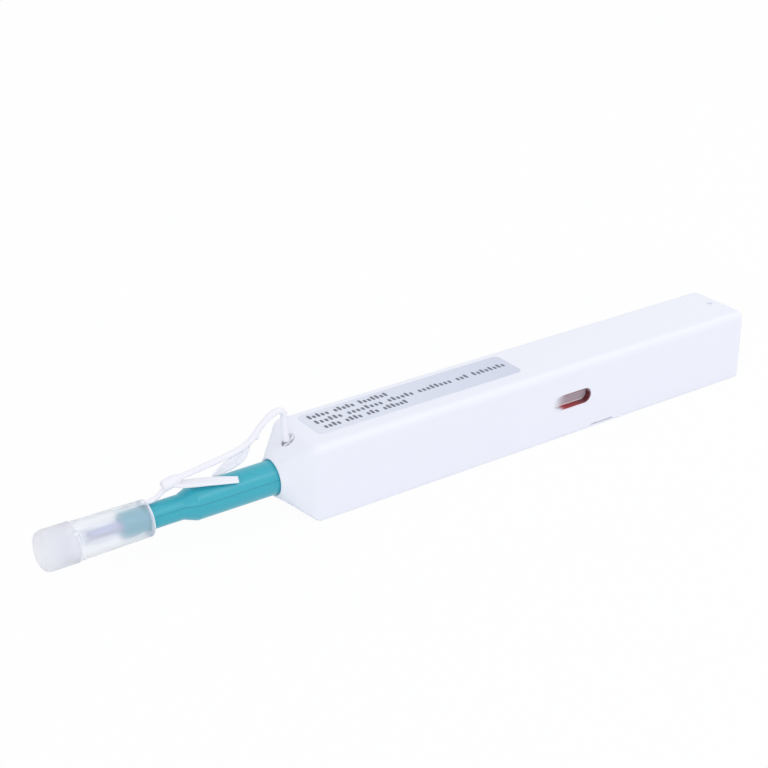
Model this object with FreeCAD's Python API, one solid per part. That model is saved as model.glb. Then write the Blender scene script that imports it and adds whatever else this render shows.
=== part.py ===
import FreeCAD, Part
import math
import os

# Fibre connector cleaning pen: a square push-type cleaner for 2.5 mm ferrules and adapters.
#
# Frame: millimetres, X along the pen with the cleaning tip towards -X, +Z up towards the label
# face, the thread window in the -Y side.  The origin is the centre of the flat base.
#
# How it works: the nozzle is pressed against an adapter and slides into the case against the
# return spring.  The cam pin in the frame runs in the helical groove of the cam barrel and turns
# the spindle half a turn.  The rack bar behind the nozzle turns the drive gear, which winds used
# thread onto the take-up reel; the pawl keeps the reel from running back.

V = FreeCAD.Vector

# ------------------------------------------------------------------ driving dimensions (mm)
# Case
case_length = 140.0
case_width = 20.0
case_height = 20.0
case_wall = 1.4
case_top_radius = 2.2  # the two long edges of the label face
case_edge_radius = 1.0  # edges of the rear end
bottom_edge_radius = 0.5  # long edges of the base
front_wall = 1.5
nose_length = 8.0
nose_tip_diameter = 9.8
nose_blend = 2.0  # stretch of the nose that curves out of the case's sides
nose_blend_steps = 4
nose_lip = 0.35  # flat ring round the mouth of the nose bore
nose_core_diameter = 2.8  # cores that keep the nose's corners from being thick
nose_core_offset = 6.0  # from the nozzle axis, both ways
nose_core_depth = 2.5  # in front of the shoulder
nose_corner_share = 12.0  # degrees of the mouth each side of a diagonal that belong to a corner
pad_distances = (24.0, 66.0, 118.0)  # hold-down pads under the label face, behind the shoulder
pad_length = 4.0

# Bottom cover
cover_thickness = 0.7
cover_seam = 0.12  # bevel that shows the seam between case and cover
cover_lip_height = 1.2
cover_lip_width = 1.0
catch_distance = 88.3  # middle of the snap catch behind the front shoulder
catch_length = 7.8
catch_slot_height = 0.4
catch_reach = 0.63  # how far the snap tongues reach into the side walls

# Tether eye in the top of the nose
eye_distance = 2.9  # centre of the eye in front of the shoulder
eye_diameter = 3.3
eye_depth = 2.6  # below the nose's slope
eye_bar_diameter = 0.9
eye_bar_depth = 0.85  # middle of the bar below the nose's slope
eye_bar_root = 0.3  # how far the bar runs into the nose at each end

# Thread window
window_distance = 77.5
window_length = 13.0
window_height = 4.3
window_rise = 0.3  # centre of the window above the nozzle axis
liner_wall = 0.4
liner_flange = 0.8  # how far the liner's inner flange stands out round the window
liner_flange_thickness = 0.6
liner_inset = 0.15  # liner's outer rim behind the case's side face
liner_inner_reach = 0.2  # liner's inner rim inside the frame wall
liner_fit = 0.02  # gap between the liner and the window all round
pane_inset = 1.3  # clear pane behind the liner's outer rim
pane_thickness = 0.8
pane_bevel = 0.2

# Pin mark near the rear of the label face
mark_distance = 136.4
mark_diameter = 1.8
mark_depth = 0.6

# Label
label_start = 3.3
label_length = 61.6
label_width = 11.2
label_thickness = 0.12
label_offset = 1.0
label_corner = 1.6

# Nozzle
nozzle_diameter = 8.5
nozzle_tip_diameter = 6.1
nozzle_reach = 39.3  # nozzle in front of the nose
nozzle_tip_length = 15.0
nozzle_cone_length = 3.2
nozzle_front_radius = 0.5
nozzle_cone_front_radius = 1.6
nozzle_cone_rear_radius = 2.4
nozzle_flange_diameter = 11.0
nozzle_flange_thickness = 3.0
nozzle_spigot_diameter = 6.6
nozzle_spigot_length = 4.0
nozzle_guide_length = 9.0  # close-fitting stretch of bore at the front
nozzle_bore_diameter = 4.6
stroke = 12.0

# Spindle and cleaning tip
spindle_diameter = 3.0
spindle_collar_diameter = 4.6
spindle_collar_length = 1.8
spindle_tail_diameter = 2.2
spindle_inset = 0.7  # spindle's front edge in front of the nozzle's
spindle_edge_radius = 0.2
thread_bore_diameter = 1.0
tip_reach = 8.0  # cleaning tip in front of the nozzle
tip_diameter = 2.4
tip_shank_diameter = 1.8
tip_shank_length = 3.0
tip_edge_radius = 0.3
tip_slot_width = 0.5
tip_slot_depth = 0.25

# Cam
barrel_diameter = 5.6
barrel_length = 18.5
barrel_gap = 1.0  # between the carriage and the barrel
cam_pin_diameter = 1.6
cam_groove_depth = 1.0
cam_pin_inset = 2.3  # pin centre from the rear end of the barrel at rest
cam_turn = 180.0  # degrees over the whole stroke
cam_pin_gap = 0.15  # between the pin's end and the groove's floor
barrel_chamfer = 0.3

# Carriage and rack
carriage_length = 15.2
carriage_corner = 1.2
recess_depth = 1.2  # lightening recesses in the carriage's sides
recess_margin = 2.5
recess_top_margin = 2.0
rack_height = 2.4
rack_back = 1.5
rack_end = 3.6  # rack behind the drive gear's centre
peg_diameter = 1.4
peg_inset = 3.0
peg_share = 0.6  # share of the rack's height that the pegs reach into

# Drive gear
gear_teeth = 16
dedendum_share = 1.25  # dedendum as a share of the gear's module
pressure_angle = 20.0
rack_gap = 0.25  # between the rack's back and the frame wall's inner face
gear_backlash = 0.10
gear_distance = 104.0  # reel and gear axis behind the front shoulder
gear_hub_diameter = 5.6

# Reels
flange_thickness = 0.7
hub_diameter = 5.2
supply_pack_gap = 0.5  # full winding below the edge of the flanges
reel_holes = 6  # lightening holes in each flange
reel_hole_diameter = 1.9
reel_hole_radius = 4.5  # from the axle to the middle of a hole
winding_height = 5.0
takeup_pack_diameter = 6.8
axle_diameter = 2.0
axle_overlength = 0.5  # axles above the piece that turns on them
reel_to_rack_gap = 0.9

# Ratchet under the take-up reel
ratchet_teeth = 24
ratchet_tip_radius = 5.8
ratchet_depth = 0.6
ratchet_thickness = 1.2
pawl_pivot_offset_x = 6.6
pawl_eye_diameter = 2.6
pawl_wall_gap = 0.8  # between the pawl's eye and the frame wall
pawl_gap = 0.18  # between the pawl's tooth and the root of the wheel at rest
pawl_tooth_width = 1.0
pawl_tooth_length = 1.3  # from the reel's middle plane to where the arm begins
pawl_arm_half = 0.91  # half the arm's width at the pivot
pawl_tail_length = 7.0
pawl_tail_thickness = 0.5
pawl_tail_offset = 0.3  # near side of the tail from the pivot
small_pin_diameter = 1.0

# Inner frame
frame_wall = 1.0
frame_floor = 1.0
frame_boss_height = 0.8
frame_boss_diameter = 5.0
frame_top_gap = 0.4  # frame walls below the rack
stop_depth = 0.8
stop_length = 1.5
frame_length = 122.0
bridge_length = 5.0

# Return spring
spring_outer_diameter = 3.4
spring_wire = 0.45
spring_turns = 9
spring_wall_gap = 0.4  # between the coil and the frame wall
spring_height = 3.0  # spring axis above the frame floor
spring_rod_diameter = 1.4
spring_rod_inset = 4.0  # rod's front end behind the front of the carriage
spring_seat_margin = 0.5  # seat beyond the coil
spring_seat_distance = 58.5
spring_seat_thickness = 1.5

# Thread
thread_diameter = 0.3
thread_gap = 0.2  # on both sides of the thread beside the supply reel
thread_end_gap = 0.5  # between the fixed thread runs and the spindle's rear end
roller_distance = 62.0
roller_diameter = 3.0
roller_height = 2.4
feed_roller_offset = -3.4

# Guide cap and end lid
cap_overlap = 6.8  # how far the cap is pushed over the nozzle
cap_length = 17.9
cap_front_diameter = 9.3
cap_rear_diameter = 8.8
cap_spigot_length = 4.0
cap_spigot_diameter = 8.2
cap_tip_room_diameter = 4.2
ferrule_bore_diameter = 2.6
cap_rim_radius = 0.4
cap_spigot_radius = 0.4
cap_step_radius = 0.15
lid_length = 8.6
lid_diameter = 9.7
lid_front_radius = 1.9
lid_wall = 2.0
lid_mouth_radius = 0.3
lid_mouth_gap = 0.1
key_width = 1.0
key_length = 1.5
key_reach = 0.9  # how much of the key is in front of the cap's step
key_height = 0.3  # above the step of the cap
key_angle = 38.0  # from the top towards the window side
neck_root_length = 4.2
neck_root_width = 1.6

# Tether strap; routes are (distance in front of the shoulder, height above the label face)
strap_diameter = 1.6
strap_bend = 2.0
strap_loop = ((3.2, 3.0), (3.3, 7.5), (7.2, 6.9), (12.3, 2.1))
strap_run = ((14.9, 0.0), (21.6, -1.0))
strap_knob_diameter = 1.6
strap_knob_place = (11.5, 1.25)
strap_ring_thickness = 0.5
strap_ring_width = 1.5
strap_head_diameter = 2.4
strap_head_reach = 5.5  # head behind the rear rim of the cap
strap_head_rise = 2.4  # head above the cap
neck_diameter = 1.3
neck_bend = 0.9
neck_middle_reach = 1.8  # bend of the neck behind the rear rim of the cap
neck_middle_rise = 1.0  # bend of the neck above the cap
leaf_start = (14.0, -0.3)
leaf_end = (23.2, -4.5)
leaf_thickness = 0.9
leaf_width = 2.8
leaf_outline = ((0, 0.35), (0.35, 1.0), (0.75, 0.9), (1, 0.4))  # (share of length, share of width)
strap_tab_length = 18.2
strap_tab_width = 2.8
strap_tab_end_width = 1.8
strap_tab_thickness = 0.9
strap_tab_end_thickness = 0.5
strap_tab_turn = 37.0  # degrees round the nozzle, from the top towards the window side, at the free end
strap_tab_gap = 0.4  # between the tab and the nozzle
strap_tab_corner = 0.3  # corner radius as a share of the thickness
strap_tab_steps = 5

# Clearances
running_clearance = 0.05  # radial, shaft in bore
sliding_clearance = 0.15  # carriage in the frame
free_gap = 0.3  # between pieces that move past each other
seat_gap = 0.1  # between fixed mouldings that drop into each other

# ------------------------------------------------------------------ places worked out from them
front = -case_length / 2  # the front shoulder, where the nose starts to taper
rear = case_length / 2
axis_z = case_height / 2
nose_tip = front - nose_length
inner_half_width = case_width / 2 - case_wall
inner_front = front + front_wall
inner_rear = rear - case_wall
ceiling = case_height - case_wall

frame_bottom = cover_thickness + cover_lip_height
floor_top = frame_bottom + frame_floor
frame_half_width = inner_half_width - free_gap
frame_inner = frame_half_width - frame_wall
frame_front = inner_front + free_gap
boss_top = floor_top + frame_boss_height
wheel_low = boss_top + 2 * seat_gap  # underside of the ratchet wheel and the pawl

window_x = front + window_distance
window_z = axis_z + window_rise
flange_radius = frame_inner - thread_diameter - 2 * thread_gap
supply_pack_radius = flange_radius - supply_pack_gap
winding_low = window_z - winding_height / 2
winding_high = window_z + winding_height / 2
reel_top = winding_high + flange_thickness
rack_low = reel_top + reel_to_rack_gap
rack_high = rack_low + rack_height
frame_top = rack_low - frame_top_gap

gear_x = front + gear_distance
gear_module = (frame_inner - rack_gap - rack_back) / (gear_teeth / 2 + dedendum_share)
pitch_radius = gear_module * gear_teeth / 2
addendum = gear_module
dedendum = dedendum_share * gear_module
tooth_pitch = math.pi * gear_module
pawl_pivot_offset_y = frame_inner - pawl_wall_gap - pawl_eye_diameter / 2

nozzle_front = nose_tip - nozzle_reach
flange_front = inner_front + free_gap
carriage_front = flange_front + nozzle_flange_thickness
carriage_rear = carriage_front + carriage_length
spigot_end = carriage_front + nozzle_spigot_length
barrel_front = carriage_rear + barrel_gap
barrel_rear = barrel_front + barrel_length
cam_pin_x = barrel_rear - cam_pin_inset
tip_front = nozzle_front - tip_reach
spindle_front = nozzle_front - spindle_inset

cap_rear = nozzle_front + cap_overlap
cap_front = cap_rear - cap_length
cap_spigot_front = cap_front - cap_spigot_length
lid_front = cap_front - lid_length

spring_offset_y = spring_wall_gap + spring_outer_diameter / 2 - frame_inner
spring_z = floor_top + spring_height
spring_seat_x = front + spring_seat_distance
roller_x = front + roller_distance
thread_lane = frame_inner - thread_gap - thread_diameter / 2
return_roller_offset = thread_lane - (roller_diameter + thread_diameter) / 2


# ------------------------------------------------------------------ building blocks
def box(x0, x1, y0, y1, z0, z1):
    """Block between two corners."""
    return Part.makeBox(x1 - x0, y1 - y0, z1 - z0, V(x0, y0, z0))


def rod(x0, x1, diameter, y=0.0, z=None):
    """Cylinder along X."""
    return Part.makeCylinder(diameter / 2, x1 - x0, V(x0, y, axis_z if z is None else z), V(1, 0, 0))


def post(x, y, z0, z1, diameter):
    """Cylinder along Z."""
    return Part.makeCylinder(diameter / 2, z1 - z0, V(x, y, z0), V(0, 0, 1))


def rounded_wire(corners, closed=True):
    """Wire through (point, radius) corners, each rounded by a tangent arc of its radius."""
    count = len(corners)
    starts, ends, arcs = [], [], []
    for i, (point, radius) in enumerate(corners):
        inner = closed or 0 < i < count - 1
        if radius <= 0 or not inner:
            starts.append(point)
            ends.append(point)
            arcs.append(None)
            continue
        back = (corners[i - 1][0] - point).normalize()
        ahead = (corners[(i + 1) % count][0] - point).normalize()
        half = back.getAngle(ahead) / 2
        reach = radius / math.tan(half)
        middle = (back + ahead).normalize()
        centre = point + middle * (radius / math.sin(half))
        starts.append(point + back * reach)
        ends.append(point + ahead * reach)
        arcs.append(Part.Arc(starts[-1], centre - middle * radius, ends[-1]).toShape())
    edges = []
    for i in range(count):
        if arcs[i] is not None:
            edges.append(arcs[i])
        if i == count - 1 and not closed:
            continue
        here, there = ends[i], starts[(i + 1) % count]
        if here.distanceToPoint(there) > 1e-6:
            edges.append(Part.LineSegment(here, there).toShape())
    return Part.Wire(edges)


def prism(corners, direction):
    """Solid of a rounded outline pushed along a direction."""
    return Part.Face(rounded_wire(corners)).extrude(direction)


def turned(profile):
    """Solid of revolution about the nozzle axis from (x, radius, corner radius) points."""
    corners = [(V(x, 0, axis_z + radius), corner) for x, radius, corner in profile]
    return Part.Face(rounded_wire(corners)).revolve(V(0, 0, axis_z), V(1, 0, 0), 360)


def slot_outline(length, height, y):
    """Stadium wire in the plane of the window side, centred on the thread window."""
    half, radius = length / 2, height / 2
    arc = radius - 0.002  # leaves a short straight at each end
    return [(V(window_x + dx, y, window_z + dz), arc)
            for dx, dz in ((-half, -radius), (half, -radius), (half, radius), (-half, radius))]


def tube_along(points, diameter, bend):
    """Round tube along straight runs joined by tangent arcs."""
    corners = [(point, bend) for point in points]
    path = rounded_wire(corners, closed=False)
    start = (points[1] - points[0]).normalize()
    circle = Part.Wire(Part.makeCircle(diameter / 2, points[0], start))
    return path.makePipeShell([circle], True, False)


def joined(shapes):
    """One solid from touching or overlapping shapes."""
    solid = shapes[0]
    for shape in shapes[1:]:
        solid = solid.fuse(shape)
    return solid.removeSplitter()


# ------------------------------------------------------------------ case
def case_section(x, bottom, bottom_radius):
    """Cross-section wire of the case with its soft upper edges, in the plane of a given X."""
    half = case_width / 2
    return rounded_wire([
        (V(x, -half, bottom), bottom_radius),
        (V(x, half, bottom), bottom_radius),
        (V(x, half, case_height), case_top_radius),
        (V(x, -half, case_height), case_top_radius),
    ])


def nose_mouth():
    """Circle at the nose tip, split into eight arcs that face the case section's eight edges."""
    radius = nose_tip_diameter / 2
    angles = []
    for diagonal in (-135.0, -45.0, 45.0, 135.0):
        angles += [diagonal - nose_corner_share, diagonal + nose_corner_share]
    angles.append(angles[0] + 360.0)

    def at(angle):
        turn = math.radians(angle)
        return V(nose_tip, radius * math.cos(turn), axis_z + radius * math.sin(turn))

    arcs = [Part.Arc(at(a), at((a + b) / 2), at(b)).toShape() for a, b in zip(angles, angles[1:])]
    return Part.Wire(arcs)


def nose_share(ahead):
    """Change from the case section to the mouth, 0 to 1: a parabola that runs into a straight line."""
    slope = 1 / (nose_length - nose_blend / 2)
    if ahead < nose_blend:
        return slope * ahead**2 / (2 * nose_blend)
    return slope * (ahead - nose_blend / 2)


def nose_slope_z(x):
    """Height of the top of the nose at a given X."""
    return case_height - (case_height / 2 - nose_tip_diameter / 2) * nose_share(front - x)


def nose_section(ahead):
    """Wire of the nose, each edge part-way from the case section's to the mouth's."""
    share = nose_share(ahead)
    edges = []
    for start, end in zip(case_section(front, 0, bottom_edge_radius).Edges, nose_mouth().Edges):
        points = []
        for part in (0.0, 0.5, 1.0):
            a, b = (edge.valueAt(edge.FirstParameter + part * (edge.LastParameter - edge.FirstParameter))
                    for edge in (start, end))
            points.append(V(front - ahead, a.y + (b.y - a.y) * share, a.z + (b.z - a.z) * share))
        edges.append(Part.Arc(*points).toShape())
    return Part.Wire(edges)


def case_shell():
    """Main moulding: square tube closed at the rear, tapered nose, tether eye and window."""
    body = Part.Face(case_section(front, cover_thickness, 0)).extrude(V(case_length, 0, 0))
    rear_edges = [e for e in body.Edges
                  if e.BoundBox.XMin > rear - 1e-3 and e.BoundBox.ZMax > cover_thickness + 1e-3]
    body = body.makeFillet(case_edge_radius, rear_edges)
    steps = [nose_blend * (i + 1) / nose_blend_steps for i in range(nose_blend_steps)]
    sections = [case_section(front, 0, bottom_edge_radius)] + [nose_section(ahead) for ahead in steps]
    nose = Part.makeLoft(sections + [nose_mouth()], True, True)
    cavity = box(inner_front, inner_rear, -inner_half_width, inner_half_width, cover_thickness - 1, ceiling)
    upper = [e for e in cavity.Edges if e.BoundBox.ZMin > ceiling - 1e-3 and e.BoundBox.XLength > 1]
    cavity = cavity.makeFillet(case_wall, upper)
    shell = body.fuse(nose)
    shell = shell.cut(cavity)
    bore = nozzle_diameter + 2 * running_clearance
    shell = shell.cut(rod(nose_tip - 1, inner_front + 1, bore))
    shell = shell.cut(Part.makeCone(bore / 2 + nose_lip, bore / 2, nose_lip,
                                    V(nose_tip, 0, axis_z), V(1, 0, 0)))
    for y in (-nose_core_offset, nose_core_offset):
        for z in (axis_z - nose_core_offset, axis_z + nose_core_offset):
            shell = shell.cut(rod(front - nose_core_depth, inner_front + 1, nose_core_diameter, y, z))
    window = prism(slot_outline(window_length, window_height, -case_width / 2 - 1), V(0, case_wall + 2, 0))
    shell = shell.cut(window)
    mark_floor = case_height - mark_depth
    shell = shell.cut(post(front + mark_distance, 0, mark_floor, case_height + 1, mark_diameter))
    # Pads under the ceiling hold the frame's walls down on the cover.
    for distance in pad_distances:
        x0 = front + distance - pad_length / 2
        for side in (-1, 1):
            y0, y1 = sorted((side * (frame_inner + seat_gap), side * (inner_half_width + seat_gap)))
            shell = shell.fuse(box(x0, x0 + pad_length, y0, y1, frame_top, ceiling + seat_gap))
    # Snap slots over the bottom seam, one on each side.
    slot = box(front + catch_distance - catch_length / 2, front + catch_distance + catch_length / 2,
               -case_width, case_width, cover_thickness - 1, cover_thickness + catch_slot_height)
    shell = shell.cut(slot)
    return tether_eye(shell).removeSplitter()


def eye_bar():
    """Middle of the eye's bar and its direction, along the slope of the nose's top."""
    x = front - eye_distance
    half = eye_diameter / 2
    along = V(2 * half, 0, nose_slope_z(x + half) - nose_slope_z(x - half)).normalize()
    return V(x, 0, nose_slope_z(x) - eye_bar_depth), along


def tether_eye(shell):
    """Round pocket in the top of the nose with a bar along its slope that the tether strap loops round."""
    middle, along = eye_bar()
    floor_z = nose_slope_z(middle.x) - eye_depth
    pocket = post(front - eye_distance, 0, floor_z, case_height + 1, eye_diameter)
    length = eye_diameter / along.x + 2 * eye_bar_root
    bar = Part.makeCylinder(eye_bar_diameter / 2, length, middle - along * (length / 2), along)
    return shell.cut(pocket).fuse(bar)


def bottom_cover():
    """Flat base with a locating lip and two snap tongues that show in the slots."""
    half = case_width / 2
    plate = prism([
        (V(front, -half, 0), bottom_edge_radius),
        (V(front, half, 0), bottom_edge_radius),
        (V(front, half, cover_thickness - cover_seam), 0),
        (V(front, half - cover_seam, cover_thickness), 0),
        (V(front, cover_seam - half, cover_thickness), 0),
        (V(front, -half, cover_thickness - cover_seam), 0),
    ], V(case_length, 0, 0))
    plan = [(V(front, -half, 0), 0), (V(front, half, 0), 0),
            (V(rear, half, 0), case_edge_radius), (V(rear, -half, 0), case_edge_radius)]
    plate = plate.common(prism(plan, V(0, 0, cover_thickness)))
    lip_top = cover_thickness + cover_lip_height
    x0, x1 = inner_front + seat_gap, inner_rear - seat_gap
    y = inner_half_width - seat_gap
    lip = box(x0, x1, -y, y, cover_thickness, lip_top)
    lip = lip.cut(box(x0 + cover_lip_width, x1 - cover_lip_width, -y + cover_lip_width, y - cover_lip_width,
                      cover_thickness - 1, lip_top + 1))
    catch_x = front + catch_distance
    cover = plate.fuse(lip)
    for side in (-1, 1):
        y0, y1 = sorted((side * (y - cover_lip_width), side * (inner_half_width + catch_reach)))
        length = catch_length / 2 - 2 * seat_gap
        cover = cover.fuse(box(catch_x - length, catch_x + length, y0, y1, cover_thickness,
                               cover_thickness + catch_slot_height - seat_gap))
    return cover.removeSplitter()


def label():
    """Printed sticker lying on the label face."""
    x0, x1 = front + label_start, front + label_start + label_length
    y0, y1 = label_offset - label_width / 2, label_offset + label_width / 2
    outline = [(V(x, y, case_height), label_corner) for x, y in ((x0, y0), (x1, y0), (x1, y1), (x0, y1))]
    return prism(outline, V(0, 0, label_thickness))


def window_liner():
    """Red ring that lines the window through the case and frame walls, with an inner flange."""
    outer_face = -case_width / 2 + liner_inset
    inner_face = -frame_inner + liner_inner_reach
    length, height = window_length - 2 * liner_fit, window_height - 2 * liner_fit
    ring = prism(slot_outline(length, height, outer_face), V(0, inner_face - outer_face, 0))
    wide, tall = window_length + 2 * liner_flange, window_height + 2 * liner_flange
    flange = prism(slot_outline(wide, tall, inner_face - liner_flange_thickness),
                   V(0, liner_flange_thickness, 0))
    ring = ring.fuse(flange)
    opening = prism(slot_outline(window_length - 2 * liner_wall, window_height - 2 * liner_wall, -case_width),
                    V(0, case_width, 0))
    return ring.cut(opening).removeSplitter()


def window_pane():
    """Clear pane seated in the liner, its outer edge bevelled."""
    length, height = window_length - 2 * liner_wall, window_height - 2 * liner_wall
    outer = -case_width / 2 + liner_inset + pane_inset
    pane = prism(slot_outline(length, height, outer), V(0, pane_thickness, 0))
    rim = [e for e in pane.Edges if e.BoundBox.YMax < outer + 1e-3]
    return pane.makeChamfer(pane_bevel, rim)


# ------------------------------------------------------------------ frame and fixed pieces
def inner_frame():
    """Moulded chassis: floor, side walls, cam bridge, spring seat and bosses for the pins."""
    x0, x1 = frame_front, frame_front + frame_length
    frame = box(x0, x1, -frame_half_width, frame_half_width, frame_bottom, floor_top)
    for side in (-1, 1):
        y0, y1 = sorted((side * frame_inner, side * frame_half_width))
        frame = frame.fuse(box(x0, x1, y0, y1, frame_bottom, frame_top))
    bridge_z = axis_z + barrel_diameter / 2 + free_gap
    bridge_x = cam_pin_x - bridge_length / 2
    frame = frame.fuse(box(bridge_x, bridge_x + bridge_length, -frame_half_width, frame_half_width,
                           bridge_z, frame_top))
    # Stops that end the carriage's travel.
    stop_x = carriage_rear + stroke + free_gap
    for side in (-1, 1):
        y0, y1 = sorted((side * (frame_inner - stop_depth), side * frame_half_width))
        frame = frame.fuse(box(stop_x, stop_x + stop_length, y0, y1, axis_z, frame_top))
    seat = box(spring_seat_x, spring_seat_x + spring_seat_thickness, -frame_half_width,
               spring_offset_y + spring_outer_diameter / 2 + spring_seat_margin, frame_bottom,
               spring_z + spring_outer_diameter / 2)
    frame = frame.fuse(seat)
    frame = frame.cut(rod(spring_seat_x - 1, spring_seat_x + spring_seat_thickness, spring_rod_diameter,
                          spring_offset_y, spring_z))
    for x in (window_x, gear_x):
        frame = frame.fuse(post(x, 0, frame_bottom, boss_top, frame_boss_diameter))
        frame = frame.cut(post(x, 0, frame_bottom - 1, boss_top + 1, axle_diameter))
    for y in (feed_roller_offset, return_roller_offset):
        low = window_z - roller_height / 2 - free_gap
        frame = frame.fuse(post(roller_x, y, frame_bottom, low, roller_diameter))
        frame = frame.cut(post(roller_x, y, frame_bottom - 1, low + 1, small_pin_diameter))
    px, py = pawl_pivot()
    frame = frame.fuse(post(px, py, frame_bottom, boss_top, pawl_eye_diameter))
    frame = frame.cut(post(px, py, frame_bottom - 1, boss_top + 1, small_pin_diameter))
    frame = frame.cut(post(cam_pin_x, 0, bridge_z - 1, frame_top + 1, cam_pin_diameter))
    # Room for the window liner.
    margin = 2 * (liner_flange + seat_gap)
    opening = prism(slot_outline(window_length + margin, window_height + margin, -case_width / 2),
                    V(0, case_width / 2 - frame_inner + frame_wall / 2, 0))
    return frame.cut(opening).removeSplitter()


def pawl_pivot():
    return gear_x + pawl_pivot_offset_x, pawl_pivot_offset_y


def supply_axle():
    return post(window_x, 0, frame_bottom, reel_top + axle_overlength, axle_diameter)


def takeup_axle():
    return post(gear_x, 0, frame_bottom, rack_high + axle_overlength, axle_diameter)


def roller_pins():
    """The two guide rollers' pins, one node of two solids."""
    top = window_z + roller_height / 2 + axle_overlength
    return Part.makeCompound([post(roller_x, y, frame_bottom, top, small_pin_diameter)
                              for y in (feed_roller_offset, return_roller_offset)])


def pawl_pin():
    x, y = pawl_pivot()
    return post(x, y, frame_bottom, wheel_low + ratchet_thickness + free_gap, small_pin_diameter)


def cam_pin():
    """Steel follower that reaches from the bridge into the barrel's groove."""
    groove_floor = axis_z + barrel_diameter / 2 - cam_groove_depth
    return post(cam_pin_x, 0, groove_floor + cam_pin_gap, frame_top, cam_pin_diameter)


def spring_rod():
    return rod(carriage_front + spring_rod_inset, spring_seat_x + spring_seat_thickness, spring_rod_diameter,
               spring_offset_y, spring_z)


def return_spring():
    """Compression spring between the carriage and its seat, wound round the spring rod."""
    length = spring_seat_x - carriage_rear - 2 * running_clearance - spring_wire
    radius = (spring_outer_diameter - spring_wire) / 2
    helix = Part.makeHelix(length / spring_turns, length, radius)
    half = spring_wire / 2
    ring = [V(radius + a * half, 0, b * half) for a, b in ((-1, -1), (1, -1), (1, 1), (-1, 1), (-1, -1))]
    square = Part.makePolygon(ring)
    coil = Part.Wire(helix).makePipeShell([square], True, True)
    coil.rotate(V(0, 0, 0), V(0, 1, 0), 90)
    coil.translate(V(carriage_rear + running_clearance + half, spring_offset_y, spring_z))
    return coil


# ------------------------------------------------------------------ nozzle, carriage and rack
def nozzle_tube():
    """Teal nozzle: slim front that enters the adapter, cone, main tube, flange and spigot."""
    tip_r, main_r = nozzle_tip_diameter / 2, nozzle_diameter / 2
    cone_front = nozzle_front + nozzle_tip_length
    cone_rear = cone_front + nozzle_cone_length
    guide_r = spindle_diameter / 2 + running_clearance
    bore_r = nozzle_bore_diameter / 2
    return turned([
        (nozzle_front, guide_r, 0),
        (nozzle_front, tip_r, nozzle_front_radius),
        (cone_front, tip_r, nozzle_cone_front_radius),
        (cone_rear, main_r, nozzle_cone_rear_radius),
        (flange_front, main_r, 0),
        (flange_front, nozzle_flange_diameter / 2, 0),
        (carriage_front, nozzle_flange_diameter / 2, 0),
        (carriage_front, nozzle_spigot_diameter / 2, 0),
        (spigot_end, nozzle_spigot_diameter / 2, 0),
        (spigot_end, bore_r, 0),
        (nozzle_front + nozzle_guide_length, bore_r, 0),
        (nozzle_front + nozzle_guide_length, guide_r, 0),
    ])


def carriage():
    """Slider behind the nozzle: seats its spigot, holds the spindle's collar, pushes the spring."""
    half = frame_inner - sliding_clearance
    low = floor_top + sliding_clearance
    body = prism([(V(carriage_front, y, z), carriage_corner) for y, z in
                  ((-half, low), (half, low), (half, rack_low), (-half, rack_low))], V(carriage_length, 0, 0))
    body = body.cut(rod(carriage_front - 1, spigot_end, nozzle_spigot_diameter))
    room_end = spigot_end + spindle_collar_length + 2 * free_gap
    body = body.cut(rod(spigot_end - 1, room_end, spindle_collar_diameter + 2 * sliding_clearance))
    body = body.cut(rod(room_end - 1, carriage_rear + 1, spindle_diameter + 2 * running_clearance))
    body = body.cut(rod(carriage_front - 1, carriage_rear + 1, spring_rod_diameter + 2 * sliding_clearance,
                        spring_offset_y, spring_z))
    for x in (carriage_front + peg_inset, carriage_rear - peg_inset):
        body = body.fuse(post(x, rack_peg_y(), axis_z, rack_low + rack_height * peg_share, peg_diameter))
    # Recesses that lighten the block on both sides.
    for side in (-1, 1):
        y0, y1 = sorted((side * (half - recess_depth), side * (half + 1)))
        body = body.cut(box(carriage_front + recess_margin, carriage_rear - recess_margin, y0, y1,
                            axis_z, rack_low - recess_top_margin))
    return body.removeSplitter()


def rack_peg_y():
    return pitch_radius + dedendum + rack_back / 2


def rack_bar():
    """Bar from the carriage to the drive gear with rack teeth facing the gear."""
    root = pitch_radius + dedendum
    back = root + rack_back
    tip = pitch_radius - addendum
    lean = math.tan(math.radians(pressure_angle))
    half_tooth = tooth_pitch / 4 - gear_backlash / 4
    bar = box(carriage_front, gear_x + rack_end, root, back, rack_low, rack_high)
    for x in (carriage_front + peg_inset, carriage_rear - peg_inset):
        bar = bar.cut(post(x, rack_peg_y(), rack_low - 1, rack_low + rack_height * peg_share, peg_diameter))
    first = -int((stroke + rack_end) / tooth_pitch) - 1
    last = int(rack_end / tooth_pitch - 0.5)
    teeth = []
    for i in range(first, last):
        x = gear_x + (i + 0.5) * tooth_pitch
        wide, slim = half_tooth + dedendum * lean, half_tooth - addendum * lean
        outline = [(-wide, back), (-wide, root), (-slim, tip),
                   (slim, tip), (wide, root), (wide, back), (-wide, back)]
        tooth = Part.Face(Part.makePolygon([V(x + a, b, rack_low) for a, b in outline]))
        teeth.append(tooth.extrude(V(0, 0, rack_height)))
    return bar.multiFuse(teeth).removeSplitter()


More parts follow.
